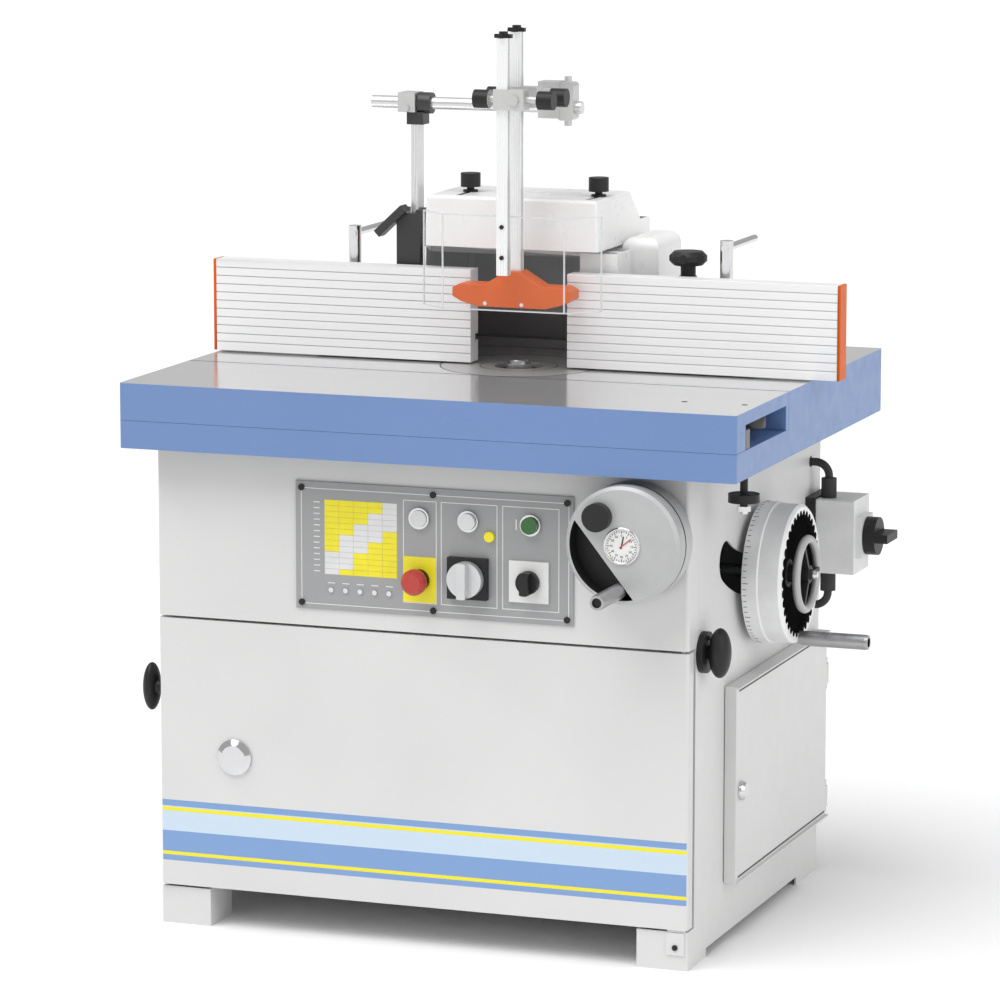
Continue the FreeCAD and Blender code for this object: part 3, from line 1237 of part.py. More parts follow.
def oval_knob(label, face, way, stem, y, z):
    """A clamp knob on a side wall: a stem and an oval grip, pointing out along X."""
    base = f"{face} + ({way}) * (cup_thickness + run_gap)"
    mid = f"{base} + ({way}) * {stem}"
    tip = f"{mid} + ({way}) * oval_depth"
    inside = f"{face} - ({way}) * (sheet + overrun)"
    spans = [(inside, mid), (mid, tip)]
    if way < 0:
        spans = [(high, low) for low, high in spans]
    pieces = [
        rod("oval_radius", "x", spans[1], (y, f"{z} + oval_half")),
        rod("oval_radius", "x", spans[1], (y, f"{z} - oval_half")),
        block(spans[1], about(y, "oval_radius"), about(z, "oval_half")),
    ]
    handle = rounded(fuse(*pieces), "oval_round", lambda edge: not along(edge, FreeCAD.Vector(1, 0, 0)))
    node(label, fuse(rod("stem_radius", "x", spans[0], (y, z)), handle))


def knob_cup(face, way, y, z):
    """The fixed flange round a clamp knob's stem, with three screws."""
    span = (face, f"{face} + ({way}) * cup_thickness")
    heads = (span[1], f"{span[1]} + ({way}) * screw_head")
    if way < 0:
        span, heads = span[::-1], heads[::-1]
    flange = cut(rod("cup_flange", "x", span, (y, z)), rod("stem_radius + run_gap", "x", past(span), (y, z)))
    screws = []
    count = int(value("cup_screw_count"))
    for i in range(count):
        turn = FreeCAD.Rotation(FreeCAD.Vector(1, 0, 0), FULL_TURN / count * i)
        spoke = turn.multVec(FreeCAD.Vector(0, 0, 1))
        screws.append(rod("cup_screw", "x", heads,
                          (f"{y} + cup_screw_circle * {spoke.y}", f"{z} + cup_screw_circle * {spoke.z}")))
    return fuse(flange, *screws)


def side_knobs():
    oval_knob("spindle_lock_knob", "cab_right", 1, "right_stem", "knob_y", "knob_z")
    oval_knob("tilt_lock_knob", "-cab_left", -1, "left_stem", "left_knob_y", "left_knob_z")
    spot = ("table_knob_x", "table_knob_y")
    node("table_lock_knob", fuse(
        rod("table_stud", "z", ("table_stud_low", "table_stud_high"), spot),
        rod("table_knob_radius", "z", ("table_knob_low", "table_knob_high"), spot),
        hexagon("table_nut_corner", "z", ("table_nut_low", "table_nut_high"), spot),
    ))


def cable_levels():
    reach = "gland_height + cable_straight + cable_bend"
    return (f"iso_high - iso_inset + {reach}", f"iso_low + iso_inset - ({reach})")


def isolator():
    y, z = ("iso_front", "iso_rear"), ("iso_low", "iso_high")
    base = block(("cab_right", "cab_right + iso_base"), y, z)
    face = "cab_right + iso_base + iso_depth"
    inset_y = ("iso_front + iso_inset", "iso_rear - iso_inset")
    inset_z = ("iso_low + iso_inset", "iso_high - iso_inset")
    case = rounded(block(("cab_right + iso_base", face), inset_y, inset_z), "iso_inset",
                   lambda edge: along(edge, FreeCAD.Vector(1, 0, 0)))
    plate = block((face, f"{face} + iso_plate"), about("iso_y", "iso_half"), about("iso_z", "iso_half"))
    node("isolator_box", group(base, case, plate))
    back = f"{face} + iso_plate + run_gap"
    disc = rod("iso_radius", "x", (back, f"{back} + iso_disc"), ("iso_y", "iso_z"))
    front = (f"{back} + iso_disc", f"{back} + iso_disc + iso_bar")
    bar = common(block(front, about("iso_y", "iso_radius"), about("iso_z", "bar_half")),
                 rod("iso_radius", "x", front, ("iso_y", "iso_z")))
    node("isolator_knob", fuse(disc, bar))
    cables = []
    for way, start in ((1, "iso_high - iso_inset"), (-1, "iso_low + iso_inset")):
        span = (start, f"{start} + ({way}) * gland_height")
        gland = rod("gland_radius", "z", span if way > 0 else span[::-1], ("gland_x", "gland_y"))
        cables += [gland, cable(way, value(span[1]))]
    node("isolator_cables", group(*cables))


def cable(way, start):
    """A short cable from a gland, bent once into the side wall."""
    x, y = value("gland_x"), value("gland_y")
    bend = value("cable_bend")
    first = FreeCAD.Vector(x, y, start)
    second = FreeCAD.Vector(x, y, start + way * value("cable_straight"))
    middle = FreeCAD.Vector(x - bend, y, second.z)
    lean = FreeCAD.Vector(1, 0, way).normalize() * bend
    third = middle + FreeCAD.Vector(0, 0, way * bend)
    last = FreeCAD.Vector(value("cab_right - sheet - cable_inside"), y, third.z)
    path = Part.Wire([
        Part.LineSegment(first, second).toShape(),
        Part.Arc(second, middle + lean, third).toShape(),
        Part.LineSegment(third, last).toShape(),
    ])
    section = Part.Wire(Part.Circle(first, FreeCAD.Vector(0, 0, 1), value("cable_radius")).toShape())
    piece = DOC.addObject("Part::Feature", "cable")
    piece.Shape = path.makePipeShell([section], True, True)
    spot = FreeCAD.Vector(value("axis_x"), value("axis_y"), 0)
    piece.Placement = FreeCAD.Placement(spot, FreeCAD.Rotation())
    return piece


# the fence


def fence_plate(label, inner, outer, way):
    """A grooved fence plate with two tee slots at its back and a cap on its outer end."""
    body = new_body("fence")
    front, low = "-fence_face", "table_top + fence_lift"
    back, high = f"{front} + fence_thickness", f"{low} + fence_height"
    section = outline(body, "YZ_Plane", [(front, low), (back, low), (back, high), (front, high)])
    pad(body, section, f"{outer} - {inner}")
    first = f"{low} + groove_pitch"
    cutter = outline(body, "YZ_Plane", [
        (front, first),
        (f"{front} + groove", f"{first} + groove / 2"),
        (front, f"{first} + groove"),
    ])
    row = pocket(body, cutter, f"{outer} - {inner}", back=True)
    count = value("groove_count")
    linear(body, row, cutter, "V_Axis", f"groove_pitch * {count - 2}", "groove_count - 1")
    neck = f"{low} + tee_first - tee_neck / 2"
    head = f"{low} + tee_first - tee_head / 2"
    tee = outline(body, "YZ_Plane", [
        (back, neck),
        (back, f"{neck} + tee_neck"),
        (f"{back} - tee_lip", f"{neck} + tee_neck"),
        (f"{back} - tee_lip", f"{head} + tee_head"),
        (f"{back} - tee_deep", f"{head} + tee_head"),
        (f"{back} - tee_deep", head),
        (f"{back} - tee_lip", head),
        (f"{back} - tee_lip", neck),
    ])
    slot = pocket(body, tee, f"{outer} - {inner}", back=True)
    linear(body, slot, tee, "V_Axis", "tee_pitch", "tee_count")
    place(body, inner if way > 0 else f"-{outer}", "0", "0")
    cap_span = mirrored_span(outer, f"{outer} + cap", way)
    node(label, group(body, block(cap_span, (front, back), (low, high))))


def fence_bed():
    """The carriage on the table: a bed with a throat, two uprights behind the plates and a screw boss."""
    low = "table_top + run_gap"
    high = f"{low} + bed_thickness"
    front = "-fence_face + fence_thickness + run_gap"
    bed = block(("-bed_left", "bed_right"), (front, "bed_rear"), (low, high))
    throat = block(about("0", "throat_half"), (f"{front} - overrun", "throat_rear"), past((low, high)))
    slots = [
        block(about(x, "stud_radius + slot_clear"), ("slot_front", "slot_rear"), past((low, high)))
        for x in ("clamp_left", "clamp_right")
    ]
    deep = (front, f"{front} + upright_sheet")
    pieces = [cut(bed, throat, *slots)]
    for x in (("-left_upright_out", "-left_upright_in"), ("right_upright_in", "right_upright_out")):
        pieces.append(block(x, deep, (high, "upright_top")))
        middle = f"({x[0]} + {x[1]}) / 2"
        pieces.append(block(about(middle, "web_half"), (deep[1], "web_rear"), (high, "web_top")))
    pieces.append(rod("boss_radius", "z", (high, "boss_top"), ("boss_x", "clamp_y")))
    bore = rod("star_stud + shaft_gap", "z", ("star_stud_low - run_gap", "boss_top + overrun"),
               ("boss_x", "clamp_y"))
    node("fence_carriage", cut(fuse(*pieces), bore))


def fence_clamp(label, x):
    """A clamp standing on the table through the bed's slot: stud, collar, post and cross bar."""
    bed_top = "table_top + run_gap + bed_thickness"
    collar_low = f"{bed_top} + run_gap"
    spot = (x, "clamp_y")
    node(label, fuse(
        rod("stud_radius", "z", ("stud_low", collar_low), spot),
        rod("collar_clamp", "z", (collar_low, f"{collar_low} + clamp_collar"), spot),
        rod("clamp_radius", "z", (f"{collar_low} + clamp_collar", "clamp_top"), spot),
        rod("bar_radius", "y", ("bar_front", "bar_back"), (x, "bar_z")),
    ))


def star_knob():
    """The adjusting knob behind the right plate: a lobed disc, its hub and its stud."""
    body = turned_body([
        ("0", "0"),
        ("star_stud", "0"),
        ("star_stud", "boss_top + run_gap - star_stud_low"),
        ("star_hub", "boss_top + run_gap - star_stud_low"),
        ("star_hub", "star_low - star_stud_low"),
        ("star_radius - star_bevel", "star_low - star_stud_low"),
        ("star_radius", "star_low + star_bevel - star_stud_low"),
        ("star_radius", "star_high - star_bevel - star_stud_low"),
        ("star_radius - star_bevel", "star_high - star_stud_low"),
        ("0", "star_high - star_stud_low"),
    ])
    notch = ring_sketch(body, "XY_Plane", ("0", "star_radius + star_notch - star_bevel / 2"), "star_notch")
    bite = pocket(body, notch, "star_high - star_stud_low + overrun", back=True)
    polar(body, bite, notch, "star_count")
    node("fence_knob", stand(body, "z", "star_stud_low", ("boss_x", "clamp_y")))


def hood_body():
    """The dust chest behind the throat, open to the front, with a round outlet at its back."""
    low = "table_top + run_gap + bed_thickness"
    top = "chest_top"
    x = ("-chest_left", "chest_right")
    y = ("chest_front", "chest_rear")
    rear_edges = rounded(block(x, y, (low, top)), "chest_round", chest_edge)
    hump = block(("raised_left", x[1]), y, (low, "chest_high"))
    raised = rounded(hump, "chest_round - run_gap", raised_edge)
    inside = block((f"{x[0]} + chest_wall", f"{x[1]} - chest_wall"),
                   (f"{y[0]} - overrun", f"{y[1]} - chest_wall"),
                   (f"{low} - overrun", f"{top} - chest_wall"))
    screen = block(("cheek_right", "chest_right"), (y[0], f"{y[0]} + chest_wall"),
                   (low, f"{top} - chest_wall"))
    front = "-fence_face + fence_thickness + run_gap + upright_sheet"
    sides = [
        block(span, (front, f"{y[0]} + chest_wall"), (low, top))
        for span in ((x[0], f"{x[0]} + chest_wall"), ("cheek_right - chest_wall", "cheek_right"))
    ]
    shutter = block(("shutter_left", "cheek_right"), (front, f"{front} + chest_wall"), (low, top))
    strap = block((x[0], "cheek_right"), ("strap_front", "strap_rear"), (f"{top} - strap_height", top))
    middle = "(strap_front + strap_rear) / 2"
    posts = [
        rod("hood_post", "z", (f"{top} - strap_height", "cover_low + cover_height - sheet"), (at, middle))
        for at in ("cap_knob_left", "cap_knob_right")
    ]
    bores = [
        rod("cap_stem + shaft_gap", "z", ("cap_stem_low - run_gap", "cover_low + cover_height"), (at, middle))
        for at in ("cap_knob_left", "cap_knob_right")
    ]
    outlet = rod("port_radius", "y", (f"{y[1]} - chest_wall", "port_end"), ("port_x", "port_z"))
    mouth = rod("port_radius - port_wall", "y", (f"{y[1]} - 2 * chest_wall", "port_end + overrun"),
                ("port_x", "port_z"))
    chest = fuse(cut(fuse(rear_edges, raised), inside), screen, shutter, *sides, strap, *posts, outlet)
    node("hood_body", cut(chest, mouth, *bores))


def chest_edge(edge):
    """The chest's upright edges at the back and its long top edge there."""
    spot = edge.CenterOfMass
    if spot.y < value("axis_y + chest_rear - chest_wall"):
        return False
    return spot.z > value("table_top + 2 * bed_thickness")


def raised_edge(edge):
    """The raised end's top edges and its upright edge at the outer back corner."""
    spot = edge.CenterOfMass
    if spot.z > value("chest_high - chest_wall"):
        return True
    if not upright(edge) or spot.y < value("axis_y + chest_rear - chest_wall"):
        return False
    return spot.x > value("axis_x + raised_left + chest_wall")


def taper(x, y, low, height, lean, slope):
    """A block whose sides lean in and whose back slopes."""
    piece = DOC.addObject("Part::Wedge", "taper")
    sizes = {
        "Xmin": x[0], "Xmax": x[1], "X2min": f"{x[0]} + {lean}", "X2max": f"{x[1]} - {lean}",
        "Ymin": "0", "Ymax": height,
        "Zmin": f"-({y[1]})", "Zmax": f"-({y[0]})", "Z2min": f"-({y[1]} - {slope})", "Z2max": f"-({y[0]})",
    }
    for prop, text in sizes.items():
        bind(piece, prop, text)
    piece.Placement = FreeCAD.Placement(ORIGIN, FreeCAD.Rotation(FreeCAD.Vector(1, 0, 0), 90))
    return place(piece, "0", "0", low)


def cover_shape(x, y, low, high):
    """The cover's form: an upright skirt below, a block with a sloping back above."""
    ledge = "cover_low + skirt_height"
    skirt = block(x, y, (low, ledge))
    upper = taper(x, (y[0], f"{y[1]} - skirt_ledge"), ledge, f"{high} - ({ledge})",
                  "cover_taper", "cover_slope")
    return fuse(skirt, upper)


def hood_cover():
    x = ("-cover_left", "cover_right")
    y = ("-cover_front", "cover_rear")
    top = "cover_low + cover_height"
    soft = rounded(cover_shape(x, y, "cover_low", top), "cover_round", cover_edge)
    inner = cover_shape((f"{x[0]} + sheet", f"{x[1]} - sheet"), (f"{y[0]} + sheet", f"{y[1]} - 2 * sheet"),
                        "cover_low - overrun", f"{top} - sheet")
    slots = [
        block(about(at, "cap_slot_half"), ("cap_slot_front", "cap_slot_rear"),
              ("cover_low + cover_height - 2 * sheet", "cover_low + cover_height + overrun"))
        for at in ("cap_knob_left", "cap_knob_right")
    ]
    node("hood_cover", cut(soft, inner, *slots))
    for label, at in (("hood_knob_left", "cap_knob_left"), ("hood_knob_right", "cap_knob_right")):
        cap_knob(label, at)


def cover_edge(edge):
    """The cover's edges round its top and its upright corners above the skirt."""
    return edge.CenterOfMass.z > value("cover_low + skirt_height + cover_round")


def cap_knob(label, x):
    seat = "cover_low + cover_height + run_gap"
    neck = f"{seat} + cap_washer_height"
    low = f"{neck} + cap_neck_height"
    spot = (x, "(strap_front + strap_rear) / 2")
    node(label, fuse(
        rod("cap_stem", "z", ("cap_stem_low", neck), spot),
        rod("cap_washer", "z", (seat, neck), spot),
        rod("cap_neck", "z", (neck, low), spot),
        rod("cap_radius", "z", (low, f"{low} + cap_height"), spot),
    ))


# the guard


def guard_bracket():
    """The black stand behind the left plate, its two ears, the pivot pin and the release lever."""
    low = "table_top + run_gap + bed_thickness"
    x = ("-guard_left", "-guard_right")
    y = ("guard_front", "guard_rear")
    base = block(x, y, (low, "guard_seat"))
    front = block(x, (y[0], f"{y[0]} + guard_sheet"), ("guard_seat", "guard_top - guard_pin"))
    ears = [
        block(span, y, ("guard_seat", "guard_top"))
        for span in ((x[0], f"{x[0]} + guard_cheek"), (f"{x[1]} - guard_cheek", x[1]))
    ]
    pin = rod("guard_pin", "x", (f"{x[0]} - guard_pin_over", f"{x[1]} + guard_pin_over"),
              ("guard_y", "pivot_z"))
    node("guard_bracket", fuse(base, front, *ears, pin, lever()))


def lever():
    """A channel-shaped release lever that slopes down to the left in front of the stand."""
    sizes = ("lever_length", "lever_width", "lever_height")
    channel = DOC.addObject("Part::Box", "channel")
    trough = DOC.addObject("Part::Box", "trough")
    for prop, text in zip(("Length", "Width", "Height"), sizes):
        bind(channel, prop, text)
    hollow = ("lever_length", "lever_width - 2 * lever_wall", "lever_height")
    for prop, text in zip(("Length", "Width", "Height"), hollow):
        bind(trough, prop, text)
    for prop, text in (("x", "-lever_height"), ("y", "lever_wall"), ("z", "lever_wall")):
        bind(trough, f"Placement.Base.{prop}", text)
    piece = cut(channel, trough)
    turn = FreeCAD.Rotation(FreeCAD.Vector(0, 1, 0), -value("lever_angle"))
    piece.Placement = FreeCAD.Placement(ORIGIN, turn)
    back = turn.multVec(FreeCAD.Vector(-1, 0, 0))
    return place(piece, f"lever_x + lever_length * {back.x}", "guard_front - lever_width / 2",
                 f"lever_z + lever_length * {back.z}")


def guard_post():
    """The swinging post, its black foot block and the cast head that holds the cross bar."""
    bar = block(("-post_left", "-post_right"), about("guard_y", "post_half"), ("post_low", "black_low"))
    pivot = rod("guard_pin + shaft_gap", "x", past(("-post_left", "-post_right")), ("guard_y", "pivot_z"))
    shoulder = block(("-black_left", "-black_right"), about("guard_y", "black_half"),
                     ("black_low", "post_top"))
    head = block(("-head_left", "-head_right"), about("guard_y", "head_half"),
                 ("post_top", "post_top + head_height"))
    ring = tube("collar_outer", "crossbar_radius + run_gap", "x", ("-head_right", "-collar_right"),
                ("guard_y", "crossbar_z"))
    bore = rod("crossbar_radius + run_gap", "x", past(("-head_left", "-head_right")),
               ("guard_y", "crossbar_z"))
    bolt = rod("cast_bolt", "y", ("guard_y - head_half - cast_bolt", "guard_y - head_half"),
               ("-(head_left + head_right) / 2", "post_top + cast_bolt"))
    node("guard_post", group(cut(bar, pivot), shoulder, fuse(cut(head, bore), bolt), ring))


def crossbar():
    """The cross bar with the end casting and the clamp that carries the forward rod."""
    bar = rod("crossbar_radius", "x", ("-crossbar_left", "crossbar_right"), ("guard_y", "crossbar_z"))
    cast = rounded(block(("cast_left", "cast_right"), about("guard_y", "cast_half"),
                         ("cast_low", "cast_high")),
                   "cast_round", lambda edge: along(edge, FreeCAD.Vector(0, 1, 0)))
    middle = ("(cast_left + cast_right) / 2", "guard_y")
    bolts = rod("cast_bolt", "z", ("cast_low - cast_bolt_rise", "cast_high + cast_bolt_rise"), middle)
    clamp = block(("arm_clamp_left", "arm_clamp_right"), about("guard_y", "arm_clamp_half"),
                  ("crossbar_z - arm_clamp_half", "rod_z + arm_clamp_half"))
    bore = rod("rod_radius + run_gap", "y", past(about("guard_y", "arm_clamp_half")), ("rod_x", "rod_z"))
    node("guard_crossbar", cut(fuse(bar, cast, bolts, clamp), bore))


def guard_rod():
    """The forward rod with its two clamp blocks and their four knobs."""
    rod_piece = rod("rod_radius", "y", ("-rod_front", "rod_rear"), ("rod_x", "rod_z"))
    blocks, knobs = [], []
    for y in ("front_column_y", "rear_column_y"):
        body = block(("block_start", "block_right"), about(y, "block_half_depth"),
                     about("rod_z", "block_half_height"))
        hole = block(about("guard_column_x", "column_half_x + run_gap"), about(y, "column_half_y + run_gap"),
                     past(about("rod_z", "block_half_height")))
        bore = rod("rod_radius", "y", past(about(y, "block_half_depth")), ("rod_x", "rod_z"))
        blocks.append(cut(body, hole, bore))
        knobs.append(side_grip("block_start", -1, "grip_stem_reach", y))
        knobs.append(side_grip("block_right", 1, "far_stem_reach", y))
    node("guard_rod", group(rod_piece, *blocks, *knobs))


def side_grip(start, way, reach, y):
    """A clamp block's knob, sticking out along X."""
    mid = f"{start} + ({way}) * {reach}"
    end = f"{mid} + ({way}) * grip_knob_depth"
    spans = [(start, mid), (mid, end)]
    if way < 0:
        spans = [span[::-1] for span in spans]
    return fuse(rod("grip_stem", "x", spans[0], (y, "rod_z")), rod("grip_knob", "x", spans[1], (y, "rod_z")))


def guard_column(y, low, top):
    """A guard column with a star-shaped cap on its top."""
    bar = block(about("guard_column_x", "column_half_x"), about(y, "column_half_y"), (low, top))
    arms = [
        block(about("guard_column_x", "star_cap"), about(y, "star_arm"), (top, f"{top} + star_height")),
        block(about("guard_column_x", "star_arm"), about(y, "star_cap"), (top, f"{top} + star_height")),
    ]
    dome = rod("star_dome", "z", (top, f"{top} + star_height + star_arm"), ("guard_column_x", y))
    return [bar, fuse(*arms, dome)]


def shield():
    bar, cap = guard_column("front_column_y", "front_column_low", "front_column_top")
    face = "front_column_y - column_half_y"
    heads = [
        rod("shield_screw", "y", (f"{face} - shield_screw_head", face), ("guard_column_x", z))
        for z in ("shield_screw_low", "shield_screw_high")
    ]
    node("shield_column", group(bar, cap, *heads))
    body = new_body("shield")
    front = "front_column_y + column_half_y"
    near, far = "shield_half", "shield_half + shield_wing_x"
    slip = "shield_wall / 2"
    profile = outline(body, "XY_Plane", [
        (f"-({far})", f"{front} + shield_wing_y"),
        (f"-({near})", front),
        (near, front),
        (far, f"{front} + shield_wing_y"),
        (f"{far} - {slip}", f"{front} + shield_wing_y + shield_wall"),
        (f"{near} - {slip}", f"{front} + shield_wall"),
        (f"-({near} - {slip})", f"{front} + shield_wall"),
        (f"-({far} - {slip})", f"{front} + shield_wing_y + shield_wall"),
    ])
    pad(body, profile, "shield_high - shield_low")
    node("guard_shield", place(body, "shield_x", "0", "shield_low"))


def shoe():
    bar, cap = guard_column("rear_column_y", "rear_column_low", "rear_column_top")
    node("shoe_column", group(bar, cap))
    body = new_body("shoe")
    low, top, peak = "shoe_low", "shoe_top", "rear_column_low"
    profile = outline(body, "XZ_Plane", [
        ("-shoe_left", f"{top} - shoe_nose / 2"),
        ("-shoe_left", f"{low} + shoe_tip"),
        ("-shoe_left + shoe_tip", f"{low} + shoe_keel"),
        ("-shoe_flat", low),
        ("shoe_flat", low),
        ("shoe_right - shoe_tip", f"{low} + shoe_keel"),
        ("shoe_right", f"{low} + shoe_tip"),
        ("shoe_right", f"{top} - shoe_nose / 2"),
        ("shoe_right - shoe_nose", top),
        ("hump_right", top),
        ("hump_half", peak),
        ("-hump_half", peak),
        ("-hump_left", top),
        ("-shoe_left + shoe_nose", top),
    ])
    pad(body, profile, "shoe_front - shoe_rear")
    node("pressure_shoe", place(body, "guard_column_x", "-shoe_rear", "0"))


def check_and_write():
    """Stop if any object failed, then write every node."""
    DOC.recompute()
    failed = [one.Label for one in DOC.Objects if {"Invalid", "Error"} & set(one.State)]
    bad = [one.Label for one in NODES if one.Shape.isNull() or not one.Shape.isValid()]
    if failed or bad:
        raise RuntimeError(f"failed objects {failed}, bad shapes {bad}")
    os.makedirs("parts", exist_ok=True)
    for one in NODES:
        one.Shape.exportStep(f"parts/{one.Label}.step")


def build():
    fill_sheet()
    for make in (
        main_table, table_rings, sliding_table, cabinet, upper_front_panel, front_door, front_latch,
        side_latch, side_door, door_hinges, electrical_tray, control_plate, switch_bezels, buttons,
        turn_knobs, tilt_wheel, height_wheel, height_lock, trunnion_brackets, tilt_frame, spindle_housing,
        drive, spindle_shaft, side_knobs, isolator, fence_bed, star_knob, hood_body, hood_cover,
        guard_bracket, guard_post, crossbar, guard_rod, shield, shoe,
    ):
        make()
    fence_plate("left_fence", "left_inner", "left_outer", -1)
    fence_plate("right_fence", "right_inner", "right_outer", 1)
    fence_clamp("fence_clamp_left", "clamp_left")
    fence_clamp("fence_clamp_right", "clamp_right")
    check_and_write()


build()
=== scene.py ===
import math

import bmesh
import bpy
from mathutils import Matrix, Vector


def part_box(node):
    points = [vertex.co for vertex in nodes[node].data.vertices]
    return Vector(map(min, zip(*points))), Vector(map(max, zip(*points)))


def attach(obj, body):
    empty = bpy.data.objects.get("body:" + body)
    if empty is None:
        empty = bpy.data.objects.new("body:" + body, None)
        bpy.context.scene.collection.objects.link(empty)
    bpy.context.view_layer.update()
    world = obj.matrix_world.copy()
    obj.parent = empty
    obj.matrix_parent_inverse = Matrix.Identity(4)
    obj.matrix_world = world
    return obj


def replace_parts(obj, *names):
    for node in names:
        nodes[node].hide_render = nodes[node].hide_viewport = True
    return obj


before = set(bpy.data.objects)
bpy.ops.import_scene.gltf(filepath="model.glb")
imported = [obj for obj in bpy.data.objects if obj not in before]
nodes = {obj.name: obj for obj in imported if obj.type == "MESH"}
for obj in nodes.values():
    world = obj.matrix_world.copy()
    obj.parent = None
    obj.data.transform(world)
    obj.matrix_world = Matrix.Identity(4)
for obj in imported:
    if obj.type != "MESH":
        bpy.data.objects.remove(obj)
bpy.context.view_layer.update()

MM = 0.001
# the spindle's axis on the floor, in the part's frame; places below are measured from it, in mm
AXIS = Vector((-21.0, 55.5, 0.0))


def spot(x, y, z):
    """A place given in mm from the spindle's axis, in the part's frame and metres."""
    return (Vector((x, y, z)) + AXIS) * MM


# materials


def add(mat, kind, **values):
    node = mat.node_tree.nodes.new("ShaderNode" + kind)
    for name, value in values.items():
        node.inputs[name].default_value = value
    return node


def link(mat, start, end):
    mat.node_tree.links.new(start, end)


def principled(mat):
    return mat.node_tree.nodes["Principled BSDF"]


def material(name, color, metallic=0.0, rough=0.4):
    mat = bpy.data.materials.new(name)
    mat.use_nodes = True
    shader = principled(mat)
    shader.inputs["Base Color"].default_value = (*color, 1)
    shader.inputs["Metallic"].default_value = metallic
    shader.inputs["Roughness"].default_value = rough
    return mat


def coords(mat, output="Object"):
    return add(mat, "TexCoord").outputs[output]


def noise(mat, scale, stretch=(1, 1, 1), detail=4.0):
    mapping = add(mat, "Mapping", Scale=stretch)
    texture = add(mat, "TexNoise", Scale=scale, Detail=detail)
    link(mat, coords(mat), mapping.inputs["Vector"])
    link(mat, mapping.outputs["Vector"], texture.inputs["Vector"])
    return texture.outputs["Fac"]


def tint(mat, fac, color, spread):
    """Let the base colour wander a little about its mean."""
    ramp = add(mat, "ValToRGB")
    low, high = ramp.color_ramp.elements
    low.position, high.position = 0.3, 0.7
    low.color = (*[c * (1 - spread) for c in color], 1)
    high.color = (*[min(1, c * (1 + spread)) for c in color], 1)
    link(mat, fac, ramp.inputs["Fac"])
    link(mat, ramp.outputs["Color"], principled(mat).inputs["Base Color"])


def roughen(mat, fac, low, high):
    spread = add(mat, "MapRange")
    spread.inputs["From Min"].default_value = 0.3
    spread.inputs["From Max"].default_value = 0.7
    spread.inputs["To Min"].default_value = low
    spread.inputs["To Max"].default_value = high
    link(mat, fac, spread.inputs["Value"])
    link(mat, spread.outputs["Result"], principled(mat).inputs["Roughness"])


def bump(mat, fac, strength, distance):
    node = add(mat, "Bump", Strength=strength, Distance=distance)
    link(mat, fac, node.inputs["Height"])
    link(mat, node.outputs["Normal"], principled(mat).inputs["Normal"])


def paint(name, color, rough=0.38):
    """Powder coat: a faint orange peel and slow changes of shade."""
    mat = material(name, color)
    tint(mat, noise(mat, 4.0, detail=2.0), color, 0.025)
    peel = noise(mat, 700.0, detail=2.0)
    roughen(mat, noise(mat, 30.0), rough - 0.05, rough + 0.06)
    bump(mat, peel, 0.12, 0.0003)
    return mat


def streaked(name, color, rough, stretch, spread=0.06, metallic=1.0, depth=0.08):
    """Ground, drawn or turned metal: fine streaks along one way."""
    mat = material(name, color, metallic)
    streak = noise(mat, 1.0, stretch, detail=6.0)
    tint(mat, streak, color, spread)
    roughen(mat, streak, rough - 0.06, rough + 0.08)
    bump(mat, streak, depth, 0.0002)
    return mat


def casting(name, color, rough=0.45, metallic=0.9):
    """Blasted or sand-cast metal: a fine grain and cloudy shade."""
    mat = material(name, color, metallic)
    tint(mat, noise(mat, 18.0), color, 0.06)
    grain = noise(mat, 520.0, detail=6.0)
    roughen(mat, grain, rough - 0.06, rough + 0.08)
    bump(mat, grain, 0.2, 0.0003)
    return mat


def plastic(name, color, rough=0.42, grain=900.0, gloss=0.5):
    """Moulded plastic; gloss is how much of the surroundings it mirrors."""
    mat = material(name, color)
    principled(mat).inputs["Specular IOR Level"].default_value = gloss
    tint(mat, noise(mat, 25.0, detail=2.0), color, 0.05)
    fine = noise(mat, grain, detail=3.0)
    roughen(mat, fine, rough - 0.06, rough + 0.08)
    bump(mat, fine, 0.12, 0.0002)
    return mat


def clear_sheet(name, alpha):
    """Clear plastic sheet: light passes straight through, with a faint film on it."""
    color = (0.82, 0.85, 0.87)
    mat = material(name, color)
    tint(mat, noise(mat, 9.0), color, 0.08)
    roughen(mat, noise(mat, 14.0), 0.04, 0.12)
    principled(mat).inputs["Alpha"].default_value = alpha
    return mat


def turned_face(name, color, rough, centre):
    """Metal faced on a lathe: rings about an upright axis."""
    mat = material(name, color, 0.5)
    shift = add(mat, "Mapping")
    shift.inputs["Location"].default_value = (-centre[0], -centre[1], 0)
    wave = add(mat, "TexWave", Scale=260.0, Distortion=0.6, Detail=3.0)
    wave.wave_type = "RINGS"
    wave.rings_direction = "Z"
    link(mat, coords(mat), shift.inputs["Vector"])
    link(mat, shift.outputs["Vector"], wave.inputs["Vector"])
    tint(mat, wave.outputs["Fac"], color, 0.07)
    roughen(mat, wave.outputs["Fac"], rough - 0.05, rough + 0.07)
    bump(mat, wave.outputs["Fac"], 0.1, 0.0002)
    return mat


def within(mat, value, low, high):
    """1 between two limits, 0 outside."""
    over = add(mat, "Math")
    over.operation = "GREATER_THAN"
    over.inputs[1].default_value = low
    under = add(mat, "Math")
    under.operation = "LESS_THAN"
    under.inputs[1].default_value = high
    both = add(mat, "Math")
    both.operation = "MULTIPLY"
    link(mat, value, over.inputs[0])
    link(mat, value, under.inputs[0])
    link(mat, over.outputs[0], both.inputs[0])
    link(mat, under.outputs[0], both.inputs[1])
    return both.outputs[0]


